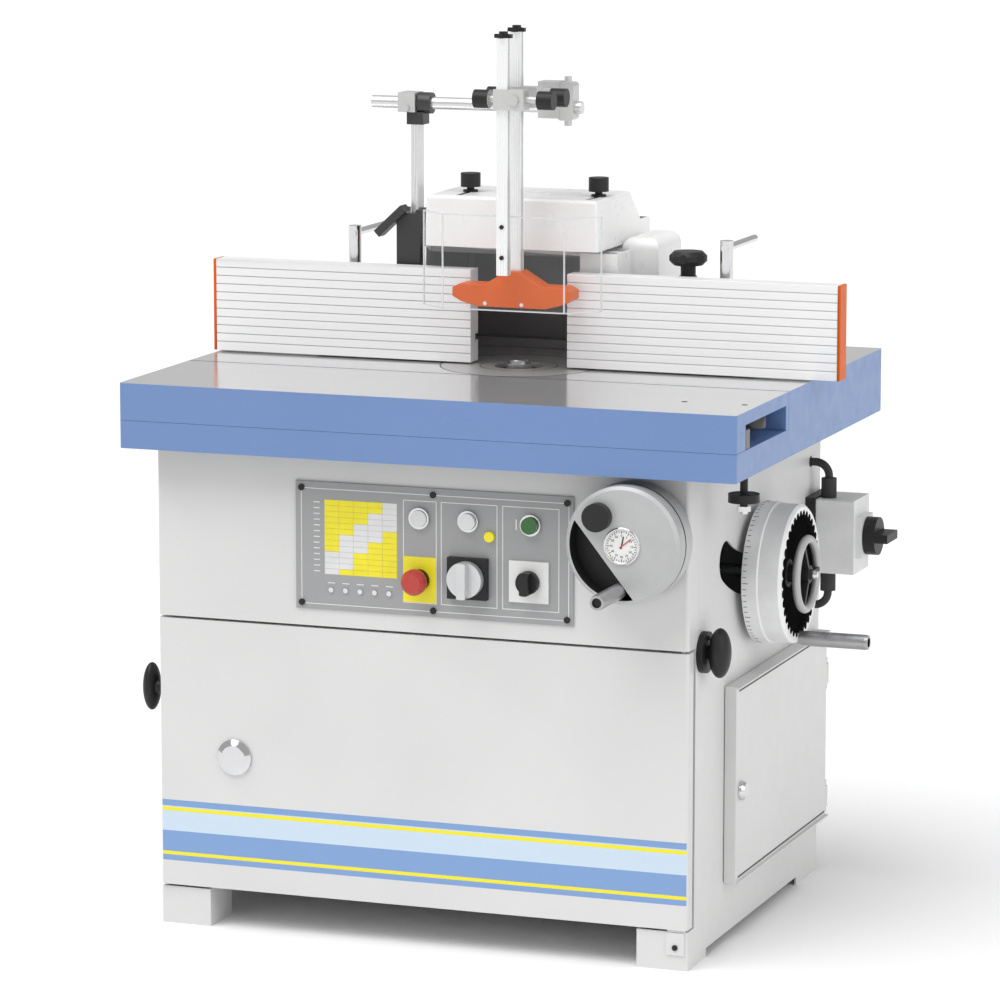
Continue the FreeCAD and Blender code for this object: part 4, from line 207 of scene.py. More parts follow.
def striped_paint(name, color, bands, low, high):
    """Cabinet paint with level bands on its front faces, between two heights in metres."""
    mat = paint(name, color)
    shader = principled(mat)
    base = shader.inputs["Base Color"].links[0].from_socket
    height = add(mat, "SeparateXYZ")
    link(mat, coords(mat), height.inputs["Vector"])
    share = add(mat, "MapRange")
    share.inputs["From Min"].default_value = low
    share.inputs["From Max"].default_value = high
    link(mat, height.outputs["Z"], share.inputs["Value"])
    ramp = add(mat, "ValToRGB")
    ramp.color_ramp.interpolation = "CONSTANT"
    stops = ramp.color_ramp.elements
    while len(stops) < len(bands):
        stops.new(0.5)
    for stop, (start, shade) in zip(stops, bands):
        stop.position = (start - low) / (high - low)
        stop.color = (*shade, 1)
    link(mat, share.outputs["Result"], ramp.inputs["Fac"])
    mask = within(mat, height.outputs["Z"], bands[0][0], high)
    facing = add(mat, "SeparateXYZ")
    link(mat, coords(mat, "Normal"), facing.inputs["Vector"])
    front = add(mat, "Math")
    front.operation = "LESS_THAN"
    front.inputs[1].default_value = -0.7
    link(mat, facing.outputs["Y"], front.inputs[0])
    both = add(mat, "Math")
    both.operation = "MULTIPLY"
    link(mat, mask, both.inputs[0])
    link(mat, front.outputs[0], both.inputs[1])
    mix = add(mat, "Mix")
    mix.data_type = "RGBA"
    link(mat, both.outputs[0], mix.inputs[0])
    link(mat, base, mix.inputs[6])
    link(mat, ramp.outputs["Color"], mix.inputs[7])
    link(mat, mix.outputs[2], shader.inputs["Base Color"])
    return mat


WHITE_PAINT = (0.66, 0.66, 0.655)
BLUE = (0.146, 0.243, 0.475)
PALE_BLUE = (0.56, 0.68, 0.79)
STRIPE_BLUE = (0.2, 0.335, 0.6)
YELLOW = (0.84, 0.74, 0.02)
# the door's bands from the lowest up, each with the height where it starts
STRIPES = [
    (0.103, STRIPE_BLUE),
    (0.112, YELLOW),
    (0.1175, STRIPE_BLUE),
    (0.151, PALE_BLUE),
    (0.183, YELLOW),
    (0.189, PALE_BLUE),
    (0.191, STRIPE_BLUE),
]
# how the grain of a streaked metal is stretched
ALONG_X = (6.0, 900.0, 900.0)
ALONG_Z = (900.0, 900.0, 6.0)
ALONG_TABLE = (5.0, 260.0, 7.0)
EVEN = (40.0, 40.0, 40.0)
FINE = (60.0, 60.0, 60.0)

# places that several functions use, in mm from the spindle's axis and the floor
TABLE_TOP = 870.0
PLATE_FACE = -338.0
TILT_X, TILT_Z, TILT_FACE = 313.0, 667.0, -412.0
HEIGHT_Z = 564.0
FRONT_COLUMN_TOP, REAR_COLUMN_TOP = 1396.0, 1402.0
# added to a limit in a test, so that a face that lies on the limit itself isn't picked
HAIR = 0.01

LOOK = {
    "cabinet": paint("cabinet_coat", WHITE_PAINT),
    "door": striped_paint("door_coat", WHITE_PAINT, STRIPES, 0.09, 0.201),
    "hood": paint("hood_coat", (0.87, 0.87, 0.865), 0.3),
    # inside: painted shade, a dark grey for the inner faces of the hood's chest, cover and corners
    "inside": paint("painted_chest_shade", (0.26, 0.26, 0.262), 0.45),
    "blue": paint("table_blue", BLUE, 0.34),
    "top": streaked("ground_iron", (0.67, 0.67, 0.675), 0.14, ALONG_TABLE, 0.05, 0.6),
    "rings": turned_face("faced_iron", (0.52, 0.52, 0.52), 0.36, spot(0, 0, 0)),
    "iron": casting("grey_casting", (0.12, 0.13, 0.14), 0.55, 0.2),
    "carriage": casting("carriage_casting", (0.34, 0.345, 0.35), 0.5, 0.2),
    "steel": streaked("turned_steel", (0.55, 0.56, 0.57), 0.3, ALONG_Z, 0.06, 0.85),
    "rail": streaked("drawn_steel", (0.16, 0.15, 0.135), 0.4, ALONG_X, 0.05, 0.2),
    "chrome": streaked("chrome_plate", (0.68, 0.68, 0.69), 0.14, EVEN, 0.02),
    "zinc": casting("zinc_casting", (0.6, 0.6, 0.595), 0.38, 0.45),
    "fence": streaked("fence_anodised", (0.86, 0.86, 0.865), 0.42, ALONG_X, 0.02, 0.15),
    "profile": streaked("column_anodised", (0.88, 0.885, 0.89), 0.28, ALONG_Z, 0.012, 0.4, 0.02),
    "bar": streaked("bar_anodised", (0.7, 0.7, 0.7), 0.28, ALONG_Z, 0.05, 0.7),
    "crossbar": streaked("crossbar_anodised", (0.7, 0.7, 0.7), 0.28, ALONG_X, 0.05, 0.7, 0.03),
    "wheel": casting("wheel_casting", (0.46, 0.463, 0.466), 0.42, 0.2),
    "drum": casting("drum_casting", (0.82, 0.823, 0.826), 0.45, 0.1),
    "groove": paint("groove_shade", (0.58, 0.58, 0.585), 0.6),
    "grip": streaked("grip_alloy", (0.42, 0.42, 0.425), 0.32, FINE, 0.05, 0.7),
    "panel": paint("panel_coat", (0.33, 0.333, 0.337), 0.42),
    "black": plastic("black_moulding", (0.018, 0.018, 0.019), gloss=0.3),
    "black_metal": paint("black_coat", (0.032, 0.032, 0.033), 0.4),
    "grey": plastic("grey_moulding", (0.7, 0.702, 0.705)),
    "silver": casting("silver_cap", (0.66, 0.665, 0.67), 0.35, 0.5),
    "white": plastic("white_moulding", (0.76, 0.76, 0.75), 0.3),
    "orange": plastic("orange_moulding", (0.68, 0.11, 0.004), 0.4, gloss=0.2),
    "red": plastic("red_moulding", (0.46, 0.045, 0.035), 0.32),
    "green": plastic("green_lens", (0.03, 0.13, 0.03), 0.22),
    "yellow": plastic("yellow_moulding", YELLOW, 0.4),
    "lens": plastic("clear_lens", (0.62, 0.63, 0.63), 0.15),
    "clear": clear_sheet("guard_sheet", 0.03),
    # rim: painted highlights along the clear shield's edges and folds
    "rim": clear_sheet("guard_rim_highlight", 0.6),
    "edge": plastic("sheet_edge", (0.74, 0.77, 0.79), 0.25),
    "rubber": plastic("black_rubber", (0.025, 0.025, 0.026), 0.6, 1400.0),
    "motor": casting("motor_coat", (0.1, 0.12, 0.15), 0.45, 0.1),
}
NODE_LOOKS = {
    "cabinet": "cabinet right_wall upper_front_panel side_door electrical_tray",
    "door": "front_door",
    "hood": "hood_body hood_cover",
    "blue": "main_table sliding_table",
    "rings": "table_rings",
    "iron": "trunnion_brackets tilt_frame spindle_housing",
    "carriage": "fence_carriage",
    "steel": "lift_screw spindle_shaft spindle_pulley motor_pulley door_hinges",
    "rail": "slide_rail",
    "chrome": "front_latch side_latch fence_clamp_left fence_clamp_right",
    "bar": "guard_post",
    "crossbar": "guard_crossbar",
    "zinc": "guard_rod",
    "fence": "left_fence right_fence",
    "profile": "shield_column shoe_column",
    "wheel": "tilt_wheel",
    "drum": "height_wheel",
    "grip": "height_grip tilt_grip",
    "panel": "control_plate",
    "black": "selector_knob isolator_knob tilt_wheel_knob hood_knob_left hood_knob_right fence_knob"
             " spindle_lock_knob tilt_lock_knob table_lock_knob switch_bezels height_lock_ring",
    "black_metal": "guard_bracket",
    "grey": "isolator_box",
    "silver": "main_switch_knob",
    "white": "tilt_dial",
    "lens": "feed_button",
    "orange": "pressure_shoe",
    "red": "estop_button",
    "green": "start_button",
    "clear": "guard_shield",
    "rubber": "isolator_cables drive_belt",
    "motor": "drive_motor",
}


def dress_nodes():
    for look, names in NODE_LOOKS.items():
        for name in names.split():
            data = nodes[name].data
            data.materials.clear()
            data.materials.append(LOOK[look])


def repaint(name, look, wanted):
    """Give some faces of a node another look. The test gets a face's middle, in mm, and its normal."""
    data = nodes[name].data
    data.materials.append(LOOK[look])
    index = len(data.materials) - 1
    for face in data.polygons:
        middle = face.center / MM - AXIS
        if wanted(middle, face.normal):
            face.material_index = index


def between(value, limits):
    return limits[0] < value < limits[1]


def chest_shade_faces(c, n):
    """Faces that look into the dust chest, and the cheeks' sides that face each other; they get painted
    shade, a dark grey.
    """
    front, back, roof = 28.4, 228.5, 1046.5
    sides = (-168.5, 195.5)
    cheek_back, cheek_x = 104.5, 150.5
    outlet_x, outlet_z, outlet_reach = 70, 967, 58
    if c.y < front or c.y < cheek_back and c.x > cheek_x:
        return False
    if c.y > back:
        return math.hypot(c.x - outlet_x, c.z - outlet_z) < outlet_reach
    return between(c.x, sides) and c.z < roof


def inner_side(middle):
    """A test for the faces of a shell that look towards its middle."""
    return lambda c, n: (c - middle).dot(n) < 0


def from_tilt_axis(c):
    return math.hypot(c.x - TILT_X, c.z - TILT_Z)


def in_window(c, n):
    """The walls and floor of the tilt wheel's crescent recess; its straight side leans by the turn."""
    turn, chord, reach = math.radians(128.5), 36, 83.1
    depth = (TILT_FACE + 0.1, TILT_FACE + 33)
    deep = (c.z - TILT_Z) * math.cos(turn) - (c.x - TILT_X) * math.sin(turn)
    return between(c.y, depth) and deep > chord and from_tilt_axis(c) < reach


def from_height_axis(c):
    return math.hypot(c.y, c.z - HEIGHT_Z)


def dress_table_and_cabinet():
    hollow, hollow_roof = (-348.5, -142.5), 849.5
    holes, hole_y, hole_reach = (368, 463), -283, 5.3
    right_wall, left_wall, isolator_lid = 394, -479, 411
    lock_nut_top = 712.05
    contactors = (283, 360), (-100, 290), (150, 360)
    for table in ("main_table", "sliding_table"):
        repaint(table, "top", lambda c, n: n.z > 0.9 and c.z > TABLE_TOP - 10)
    repaint("main_table", "iron", lambda c, n: n.z < -0.5)
    repaint("sliding_table", "iron", lambda c, n: between(c.y, hollow) and c.z < hollow_roof)
    repaint("sliding_table", "black",
            lambda c, n: n.z < 0.5 and any(math.hypot(c.x - x, c.y - hole_y) < hole_reach for x in holes))
    repaint("right_wall", "black", lambda c, n: c.x > right_wall + HAIR)
    repaint("cabinet", "black", lambda c, n: c.x < left_wall - HAIR)
    repaint("isolator_box", "black", lambda c, n: c.x < isolator_lid + HAIR)
    repaint("table_lock_knob", "chrome", lambda c, n: c.z < lock_nut_top)
    repaint("electrical_tray", "grey", lambda c, n: all(map(between, c, contactors)))


def dress_panel():
    proud, field_sheet = PLATE_FACE - HAIR, 1
    upper_row, lower_row = (655, 700), (540, 620)
    speed_lamps_right, estop_right = -80, -10
    selector_left, selector_top = 105, 625
    key_x, key_z = (66, 86), (640, 666)
    lamp_x, lamp_z, lamp_reach = -38, 677, 13.05
    repaint("control_plate", "black", lambda c, n: c.y < proud)
    repaint("switch_bezels", "chrome", lambda c, n: between(c.z, upper_row) and c.y < proud)
    repaint("switch_bezels", "yellow",
            lambda c, n: c.x < estop_right and between(c.z, lower_row) and c.y > proud - field_sheet)
    repaint("switch_bezels", "white", lambda c, n: c.x > selector_left and c.z < selector_top)
    repaint("switch_bezels", "chrome", lambda c, n: c.x < speed_lamps_right)
    repaint("switch_bezels", "yellow", lambda c, n: between(c.x, key_x) and between(c.z, key_z))
    repaint("switch_bezels", "lens",
            lambda c, n: math.hypot(c.x - lamp_x, c.z - lamp_z) < lamp_reach and c.y < proud)


def dress_wheels():
    groove, groove_floor, tilt_back = (-381.1, -376.9), 84, -346
    height_back, cup_back, cup_lip, cup_reach = 405.9, 410, 465, 101.5
    lock_ring_inside, dome_foot = 48.4, 490
    dimple_reach = 7.6
    tilt_pin_x, tilt_pin_z, tilt_dimple = 306, 597, -502.2
    height_pin_z, height_dimple = 462, 576.2
    repaint("tilt_wheel", "black", in_window)
    # painted shade: the groove round the wheel's rim is black
    repaint("tilt_wheel", "black", lambda c, n: between(c.y, groove) and from_tilt_axis(c) > groove_floor)
    repaint("tilt_wheel", "steel", lambda c, n: c.y > tilt_back)
    repaint("height_wheel", "steel", lambda c, n: c.x < height_back)
    repaint("height_wheel", "black",
            lambda c, n: c.x > cup_back and from_height_axis(c) < cup_reach and (n.x < 0.9 or c.x < cup_lip))
    repaint("height_lock_ring", "wheel", lambda c, n: from_height_axis(c) > lock_ring_inside)
    repaint("height_lock_ring", "chrome", lambda c, n: c.x > dome_foot)
    repaint("tilt_grip", "black",
            lambda c, n: c.y < tilt_dimple and math.hypot(c.x - tilt_pin_x, c.z - tilt_pin_z) < dimple_reach)
    repaint("height_grip", "black",
            lambda c, n: c.x > height_dimple and math.hypot(c.y, c.z - height_pin_z) < dimple_reach)


def dress_fence_and_guard():
    groove = (-15.9, -14.5)
    left_cap, right_cap = -514, 528
    cover_middle = Vector((-11, 100, 1070))
    post_clamp, post_collar, head_right = (1242.9, 1263.1), -185.9, -188.9
    bar_block, rod_blocks = (17.9, 76.1), (-8.4, 72.4)
    knob_back, knob_top = -118.05, 1200
    shield_ends = -62
    # the grooves' walls get painted shade, a mid grey
    for fence in ("left_fence", "right_fence"):
        repaint(fence, "groove", lambda c, n: abs(n.x) < 0.5 and between(c.y, groove))
    repaint("left_fence", "orange", lambda c, n: c.x < left_cap - HAIR)
    repaint("right_fence", "orange", lambda c, n: c.x > right_cap + HAIR)
    # painted shade on the inner faces of the dust chest and of its cover
    repaint("hood_body", "inside", chest_shade_faces)
    repaint("hood_cover", "inside", inner_side(cover_middle))
    repaint("guard_post", "black_metal", lambda c, n: between(c.z, post_clamp) or c.x > post_collar)
    repaint("guard_post", "zinc", lambda c, n: c.z > post_clamp[1] - 0.05 and c.x < head_right)
    repaint("guard_crossbar", "zinc", lambda c, n: between(c.x, bar_block))
    repaint("guard_rod", "black", lambda c, n: not between(c.x, rod_blocks))
    repaint("shield_column", "black",
            lambda c, n: c.z > FRONT_COLUMN_TOP + HAIR or c.y < knob_back and c.z < knob_top)
    repaint("guard_shield", "edge", lambda c, n: abs(n.z) > 0.9 or c.y > shield_ends)
    repaint("shoe_column", "black", lambda c, n: c.z > REAR_COLUMN_TOP + HAIR)
    repaint("spindle_pulley", "iron", lambda c, n: abs(n.z) < 0.5)


def shade_curves(data):
    """Smooth the faces that meet a neighbour at a slight angle, and leave the plane ones flat."""
    slight = (0.005, 0.7)
    mesh = bmesh.new()
    mesh.from_mesh(data)
    for face in mesh.faces:
        face.smooth = False
    for edge in mesh.edges:
        if len(edge.link_faces) == 2 and between(edge.calc_face_angle(), slight):
            for face in edge.link_faces:
                face.smooth = True
    smooth = [face.smooth for face in mesh.faces]
    mesh.free()
    data.polygons.foreach_set("use_smooth", smooth)


WIDE_EDGES = {
    "main_table", "sliding_table", "cabinet", "right_wall", "upper_front_panel", "front_door", "side_door",
    "isolator_box", "tilt_wheel", "height_wheel", "hood_body", "hood_cover", "pressure_shoe",
}


def soften():
    """Small rounded edges on every solid, from modifiers, so the solids' own points stay."""
    for name, node in nodes.items():
        weld = node.modifiers.new("weld", "WELD")
        weld.merge_threshold = 0.00002
        bevel = node.modifiers.new("edges", "BEVEL")
        bevel.width = 0.0012 if name in WIDE_EDGES else 0.0006
        bevel.segments = 2
        bevel.limit_method = "ANGLE"
        bevel.angle_limit = math.radians(40)
        bevel.use_clamp_overlap = True
        bevel.loop_slide = False
        shade = node.modifiers.new("shade", "WEIGHTED_NORMAL")
        shade.mode = "FACE_AREA"
        shade.weight = 90
        shade_curves(node.data)


# drawn details


def piece(name, mesh, body, slot, *looks):
    """Turn a finished mesh into an object that rides on a body; a face's material index picks its look."""
    bmesh.ops.recalc_face_normals(mesh, faces=mesh.faces)
    mesh_data = bpy.data.meshes.new(name)
    mesh.to_mesh(mesh_data)
    mesh.free()
    made = bpy.data.objects.new(name, mesh_data)
    bpy.context.scene.collection.objects.link(made)
    for look in looks:
        mesh_data.materials.append(LOOK[look])
    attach(made, body)
    return made


def brick(mesh, x, y, z, index=0):
    """A box between the ends given for each axis, in mm."""
    edges = Vector((x[1] - x[0], 0, 0)), Vector((0, y[1] - y[0], 0)), Vector((0, 0, z[1] - z[0]))
    prism(mesh, Vector((x[0], y[0], z[0])), *edges, index)


def prism(mesh, start, first, second, third, index):
    """A box from one corner and the three edges that leave it, in mm."""
    corners = [
        mesh.verts.new((start + first * a + second * b + third * c + AXIS) * MM)
        for a in (0, 1) for b in (0, 1) for c in (0, 1)
    ]
    for quad in ((0, 1, 3, 2), (4, 6, 7, 5), (0, 4, 5, 1), (2, 3, 7, 6), (0, 2, 6, 4), (1, 5, 7, 3)):
        face = mesh.faces.new([corners[i] for i in quad])
        face.material_index = index


def frame_lines(mesh, x, y, z, width):
    """A thin rectangle drawn with four lines."""
    brick(mesh, x, y, (z[0], z[0] + width))
    brick(mesh, x, y, (z[1] - width, z[1]))
    brick(mesh, (x[0], x[0] + width), y, (z[0] + width, z[1] - width))
    brick(mesh, (x[1] - width, x[1]), y, (z[0] + width, z[1] - width))


def panel_print():
    """The plate's printing: outlines round the groups, and a plain two-tone grid for the speed chart."""
    white, yellow, grey = range(3)
    ink, line = 0.35, 1.2
    y = (PLATE_FACE - ink, PLATE_FACE)
    mesh = bmesh.new()
    frame_lines(mesh, (-235, 204), y, (532, 714), line)
    for x in ((-66, -11), (-4, 88), (96, 188)):
        frame_lines(mesh, x, y, (544, 704), line)
    left, low, wide, tall, gap = -196.0, 580.0, 24.0, 9.0, 0.2
    columns = [left + wide * i for i in range(5)]
    rows = [low + tall * i for i in range(13)]
    for column, x in enumerate(columns):
        for row, z in enumerate(rows):
            diagonal = abs(row - 1 - 2.4 * column) <= 2.6
            brick(mesh, (x + gap, x + wide - gap), y, (z + gap, z + tall - gap), grey if diagonal else yellow)
    for z in rows:
        brick(mesh, (-214, -204), y, (z + 3.5, z + 5), white)
    for x in columns:
        brick(mesh, (x + 5, x + 17), y, (566, 567.5), white)
    brick(mesh, (117.5, 119.5), y, (668, 684), white)
    piece("panel_print", mesh, "machine", "panel_grey", "white", "yellow", "grey")


def bar(mesh, face, turn, low, high, half, index):
    """A flat bar on the dial, pointing out from its middle."""
    along = Vector((math.cos(turn), 0, math.sin(turn)))
    across = Vector((-along.z, 0, along.x))
    thick = 0.3
    start = Vector((TILT_X, face - thick, TILT_Z)) + along * low - across * half
    prism(mesh, start, along * (high - low), Vector((0, thick, 0)), across * 2 * half, index)


def bead(mesh, centre, radius, wire, around=48, section=8):
    """A round wire ring facing the front."""
    rings = []
    for i in range(around):
        a = math.tau * i / around
        ring = []
        for j in range(section):
            b = math.tau * j / section
            reach = radius + wire * math.cos(b)
            ring.append(mesh.verts.new(spot(centre.x + reach * math.cos(a), centre.y + wire * math.sin(b),
                                            centre.z + reach * math.sin(a))))
        rings.append(ring)
    for i in range(around):
        for j in range(section):
            first, second = rings[i], rings[(i + 1) % around]
            k = (j + 1) % section
            mesh.faces.new([first[j], first[k], second[k], second[j]]).smooth = True


def dial_face():
    """The tilt dial: a ring, graduations, plain numbers and two hands."""
    face = TILT_FACE - 1.5
    black, red = range(2)
    mark_end, long_mark, short_mark, half_mark = 23.5, 19.3, 21.3, 0.45
    hand_tail, short_hand, long_hand = -4.0, 15.3, 19.3
    number_reach = 16.0
    mesh = bmesh.new()
    for i in range(36):
        inner = long_mark if i % 3 == 0 else short_mark
        bar(mesh, face, math.radians(10 * i), inner, mark_end, half_mark, black)
    bar(mesh, face - 0.5, math.radians(78), hand_tail, short_hand, 0.9, black)
    bar(mesh, face - 0.8, math.radians(38), hand_tail, long_hand, 0.8, red)
    piece("dial_marks", mesh, "tilt_wheel", "black_plastic", "black", "red")
    for i in range(12):
        turn = math.radians(90 - 30 * i)
        text = bpy.data.curves.new(f"dial_number_{i}", "FONT")
        text.body = str(5 * i)
        text.size = 0.0048
        text.extrude = 0.0001
        text.align_x = text.align_y = "CENTER"
        text.materials.append(LOOK["black"])
        made = bpy.data.objects.new(f"dial_number_{i}", text)
        bpy.context.scene.collection.objects.link(made)
        x, z = TILT_X + number_reach * math.cos(turn), TILT_Z + number_reach * math.sin(turn)
        upright = Matrix.Rotation(math.radians(90), 4, "X")
        made.matrix_world = Matrix.Translation(spot(x, face - 0.1, z)) @ upright
        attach(made, "tilt_wheel")
    rim = bmesh.new()
    bead(rim, Vector((TILT_X, face + 0.4, TILT_Z)), 26.6, 2.4)
    piece("dial_rim", rim, "tilt_wheel", "chrome", "chrome")


def wheel_ticks():
    """Graduations round the back band of the height wheel."""
    back, drum_radius = 408, 111.0
    count, half, thick = 72, 0.45, 0.45
    long_tick, short_tick = 9.0, 5.5
    mesh = bmesh.new()
    for i in range(count):
        turn = math.tau * i / count
        out = Vector((0, math.cos(turn), math.sin(turn)))
        across = Vector((0, -out.z, out.y))
        reach = long_tick if i % 6 == 0 else short_tick
        start = Vector((back, 0, HEIGHT_Z)) + out * (drum_radius - 0.2) - across * half
        prism(mesh, start, Vector((reach, 0, 0)), across * 2 * half, out * thick, 0)
    piece("wheel_ticks", mesh, "height_wheel", "black_plastic", "black")


def circle(mesh, around, place):
    """Points round a ring; place turns the cosine and sine of each turn into a spot, in mm."""
    turns = [math.tau * i / around for i in range(around)]
    return [mesh.verts.new(spot(*place(math.cos(turn), math.sin(turn)))) for turn in turns]


def close(mesh, rings, smooth=True):
    """Join rings of points into a closed skin."""
    around = len(rings[0])
    for low, high in zip(rings, rings[1:]):
        for j in range(around):
            k = (j + 1) % around
            mesh.faces.new([low[j], low[k], high[k], high[j]]).smooth = smooth
    mesh.faces.new(rings[0][::-1])
    mesh.faces.new(rings[-1])


def node_box(name):
    """A node's lowest and highest corners, in mm."""
    return (Vector(corner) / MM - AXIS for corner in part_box(name))


def shoe_screws():
    """Two small domed screws low on the shoe's front."""
    face, z = -72, 976
    dome = (3.2, 0.0), (3.0, 0.7), (1.9, 1.3)
    mesh = bmesh.new()
    for x in (-31, 30):
        close(mesh, [
            circle(mesh, 20, lambda c, s: (x + radius * c, face - rise, z + radius * s))
            for radius, rise in dome
        ])
    piece("shoe_screws", mesh, "shoe", "chrome", "white")


def shield_rim_highlights():
    """Painted highlights: bright strips along the clear shield's cut edges and folds."""
    mesh = bmesh.new()
    corners = [Vector((x, y, 0)) for x, y in ((-139, -61), (-91, -102), (111, -102), (159, -61))]
    low, high, line, wall, proud = 969.0, 1119.0, 2.0, 3.0, 0.1
    back = Vector((0, wall + 2 * proud, 0))
    for start, end in zip(corners, corners[1:]):
        for z in (low, high - line):
            prism(mesh, start + Vector((0, -proud, z)), end - start, back, Vector((0, 0, line)), 0)
    for corner, side in zip(corners, (0, -line / 2, -line / 2, -line)):
        start = corner + Vector((side, -proud, low + line))
        prism(mesh, start, Vector((line, 0, 0)), back, Vector((0, 0, high - low - 2 * line)), 0)
    piece("shield_rim_highlights", mesh, "shield", "clear_plastic", "rim")


def shell(mesh, outer, inner):
    """A closed sheet between two grids of points; its inner side gets the second look."""
    skins = []
    for grid, index in ((outer, 0), (inner, 1)):
        points = [[mesh.verts.new(spot(*place)) for place in row] for row in grid]
        for low, high in zip(points, points[1:]):
            for i in range(len(low) - 1):
                mesh.faces.new([low[i], low[i + 1], high[i + 1], high[i]]).material_index = index
        skins.append(points)
    borders = []
    for points in skins:
        ends = [row[-1] for row in points[1:-1]], [row[0] for row in points[-2:0:-1]]
        borders.append(points[0] + ends[0] + points[-1][::-1] + ends[1])
    first, second = borders
    for i in range(len(first)):
        mesh.faces.new([first[i - 1], first[i], second[i], second[i - 1]])
    verts = [vert for points in skins for row in points for vert in row]
    bmesh.ops.remove_doubles(mesh, verts=verts, dist=0.00002)


def hood_corners():
    """The rounded back edges of the dust chest, closed from inside; their inner side gets painted shade."""
    mesh = bmesh.new()
    thick = 1.8
    turns = [math.pi / 16 * i for i in range(9)]

    def upright(x, y, side, ends):
        return lambda r: [[(x + side * r * math.cos(t), y + r * math.sin(t), z) for t in turns] for z in ends]

    def level(y, z, ends):
        return lambda r: [[(x, y + r * math.cos(t), z + r * math.sin(t)) for t in turns] for x in ends]

    def corner(x, y, z):
        def rows(r):
            for up in turns:
                flat = r * math.cos(up)
                yield [(x - flat * math.cos(t), y + flat * math.sin(t), z + r * math.sin(up)) for t in turns]
        return rows

    for shape, radius in (
        (upright(-152, 212, -1, (884.5, 1030)), 19.9),
        (upright(179.3, 212.3, 1, (884.5, 1046)), 19.6),
        (level(212, 1030, (-152, 139)), 19.9),
        (corner(-152, 212, 1030), 19.9),
    ):
        shell(mesh, shape(radius), shape(radius - thick))
    piece("hood_corners", mesh, "fence", "hood_paint", "hood", "inside")


def egg_knob(name, body, way, deep, wide):
    """A side clamp knob: an egg-shaped grip on a flared stem; it stands for the plain oval one."""
    low, high = node_box(name)
    middle = (low + high) / 2
    root, tip = (low.x, high.x) if way > 0 else (high.x, low.x)
    tall, rows, around = 38.5, 28, 48
    centre = tip - way * deep
    mesh = bmesh.new()
    rings = []
    for i in range(1, rows):
        turn = math.pi * (i / rows - 0.5)
        a, b, z = deep * math.cos(turn), wide * math.cos(turn), middle.z + tall * math.sin(turn)
        rings.append(circle(mesh, around, lambda c, s: (centre + a * c, middle.y + b * s, z)))
    close(mesh, rings)
    stem = (root, 10.0), (centre - way * 17, 10.0), (centre - way * 12, 12.5), (centre, 14.0)
    close(mesh, [
        circle(mesh, around, lambda c, s: (x, middle.y + radius * c, middle.z + way * radius * s))
        for x, radius in stem
    ])
    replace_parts(piece(name + "_egg", mesh, body, "black_plastic", "black"), name)


def door_hem_shadows():
    """Painted shadow: black strips in the gaps under the side door's two folded lips, where shade falls."""
    lip_reach, gap = 6.0, 2.5
    under_top, over_foot, front_inset, rear_inset = 9.5, 7.0, 14, 20
    low, high = node_box("side_door")
    face = high.x - lip_reach
    mesh = bmesh.new()
    for z in (high.z - under_top, low.z + over_foot):
        brick(mesh, (face - 0.2, face + 0.4), (low.y + front_inset, high.y - rear_inset), (z, z + gap))
    piece("door_hem_shadows", mesh, "side_door", "black_plastic", "black")


def hoop(mesh, radius, width, z, thick):
    """A thin flat ring about the spindle, standing a hair above the table."""
    around, outer = 96, radius + width
    rings = [
        circle(mesh, around, lambda c, s: (reach * c, reach * s, level))
        for reach, level in ((radius, z), (outer, z), (outer, z - thick), (radius, z - thick))
    ]
    for first, second in zip(rings, rings[1:] + rings[:1]):
        for i in range(around):
            mesh.faces.new([first[i - 1], second[i - 1], second[i], first[i]])


def top_seams():
    """The dark joints in the table's top: behind the sliding part and round the loose rings."""
    top, thick = TABLE_TOP + 0.06, 0.4
    mesh = bmesh.new()
    brick(mesh, (-514, 484), (-126.9, -124.2), (top - thick, top))
    hoop(mesh, 123.8, 2.2, top + 0.02, thick)
    hoop(mesh, 60.8, 1.4, top, thick)
    piece("top_seams", mesh, "machine", "black_plastic", "black")


def slide_end():
    """What shows in the slide's open end: the guide bar's end and a roller under the slide's roof."""
    mesh = bmesh.new()
    brick(mesh, (475, 484.6), (-345, -325), (811.5, 841.5))
    bmesh.ops.bevel(mesh, geom=mesh.edges[:], offset=0.0012, segments=2, profile=0.5, affect="EDGES")
    piece("rail_end", mesh, "machine", "steel", "rail")
    mesh = bmesh.new()
    x, y = 452.0, -228.0
    profile = (827, 24.5), (828.5, 26), (845, 26), (846.5, 24.5), (846.5, 8), (850, 8)
    close(mesh, [
        circle(mesh, 48, lambda c, s: (x + radius * c, y + radius * s, z)) for z, radius in profile
    ])
    piece("end_roller", mesh, "slide", "steel", "black_metal")


def column_slots():
    """The narrow slots in the right-hand faces of the two guard columns."""
    side, half = 23.0, 1.3
    for name, body, y, top in (
        ("shield_column", "shield", -110, FRONT_COLUMN_TOP),
        ("shoe_column", "shoe", -50, REAR_COLUMN_TOP),
    ):
        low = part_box(name)[0][2] / MM
        mesh = bmesh.new()
        brick(mesh, (side - 0.1, side + 0.12), (y - half, y + half), (low + 1, top))
        piece(name + "_slot", mesh, body, "black_plastic", "iron")


def pivot_plate():
    """The small plate and screw at the front door's lower pivot."""
    toe, sheet = -331.0, 2.5
    front = toe - sheet
    x, z, radius, head = 374.5, 36, 4.5, 2.0
    mesh = bmesh.new()
    brick(mesh, (360, 389), (front, toe), (24, 59))
    plate = set(mesh.faces)
    close(mesh, [
        circle(mesh, 20, lambda c, s: (x + radius * c, y, z + radius * s)) for y in (front, front - head)
    ], smooth=False)
    for face in mesh.faces:
        face.material_index = 0 if face in plate else 1
    piece("pivot_plate", mesh, "machine", "cabinet_paint", "cabinet", "black")


# stage


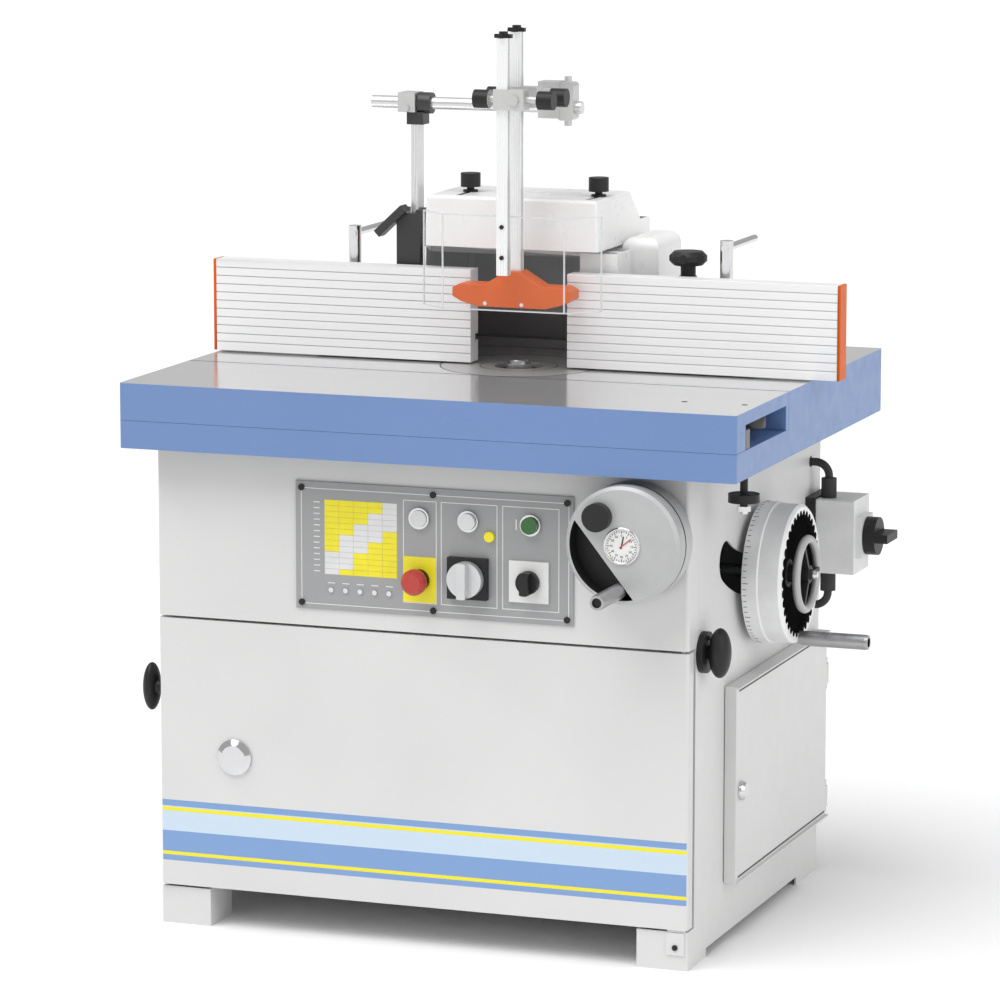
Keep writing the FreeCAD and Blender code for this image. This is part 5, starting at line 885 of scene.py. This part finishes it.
def sun(name, energy, lean, turn):
    """A sun, leant from straight down and then turned about the upright axis, in degrees."""
    light = bpy.data.lights.new(name, "SUN")
    light.energy = energy
    light.angle = math.radians(50)
    lamp = bpy.data.objects.new(name, light)
    lamp.rotation_euler = (math.radians(lean), 0, math.radians(turn))
    bpy.context.scene.collection.objects.link(lamp)


def sun_room():
    """Even white surroundings, a wide soft sun from the front left and a weaker one from the right."""
    world = bpy.data.worlds.new("room")
    bpy.context.scene.world = world
    world.use_nodes = True
    sky = world.node_tree.nodes["Background"]
    sky.inputs["Color"].default_value = (1, 1, 1, 1)
    sky.inputs["Strength"].default_value = 0.5
    sun("key", 2.15, 27, -30)
    sun("fill", 0.8, 62, 75)


def floor():
    """A plain pale floor, wide enough to fill the view."""
    mesh = bmesh.new()
    half = 80.0
    corners = (-half, -half), (half, -half), (half, half), (-half, half)
    mesh.faces.new([mesh.verts.new((x, y, 0)) for x, y in corners])
    data = bpy.data.meshes.new("floor")
    mesh.to_mesh(data)
    mesh.free()
    pale = (0.93, 0.93, 0.93)
    mat = material("pale_floor", pale, rough=0.7)
    tint(mat, noise(mat, 1.5, detail=2.0), pale, 0.01)
    data.materials.append(mat)
    made = bpy.data.objects.new("floor", data)
    bpy.context.scene.collection.objects.link(made)


def camera():
    """The photograph's camera, as fitted to points on the table, the fence and the cabinet."""
    elevation, azimuth = 9.589, 20.195
    data = bpy.data.cameras.new("camera")
    data.sensor_fit = "HORIZONTAL"
    data.sensor_width = 36.0
    data.lens = 174.3
    data.clip_end = 100.0
    made = bpy.data.objects.new("camera", data)
    made.location = spot(2596.9, -7147.4, 1938.3)
    made.rotation_euler = (math.radians(90 - elevation), 0, math.radians(azimuth))
    bpy.context.scene.collection.objects.link(made)
    bpy.context.scene.camera = made


dress_nodes()
dress_table_and_cabinet()
dress_panel()
dress_wheels()
dress_fence_and_guard()
soften()
panel_print()
dial_face()
wheel_ticks()
shoe_screws()
shield_rim_highlights()
hood_corners()
egg_knob("spindle_lock_knob", "spindle_lock", 1, 17.0, 24.0)
egg_knob("tilt_lock_knob", "tilt_lock", -1, 13.5, 20.0)
door_hem_shadows()
top_seams()
pivot_plate()
slide_end()
column_slots()
sun_room()
floor()
camera()
bpy.context.scene.view_settings.view_transform = "Standard"
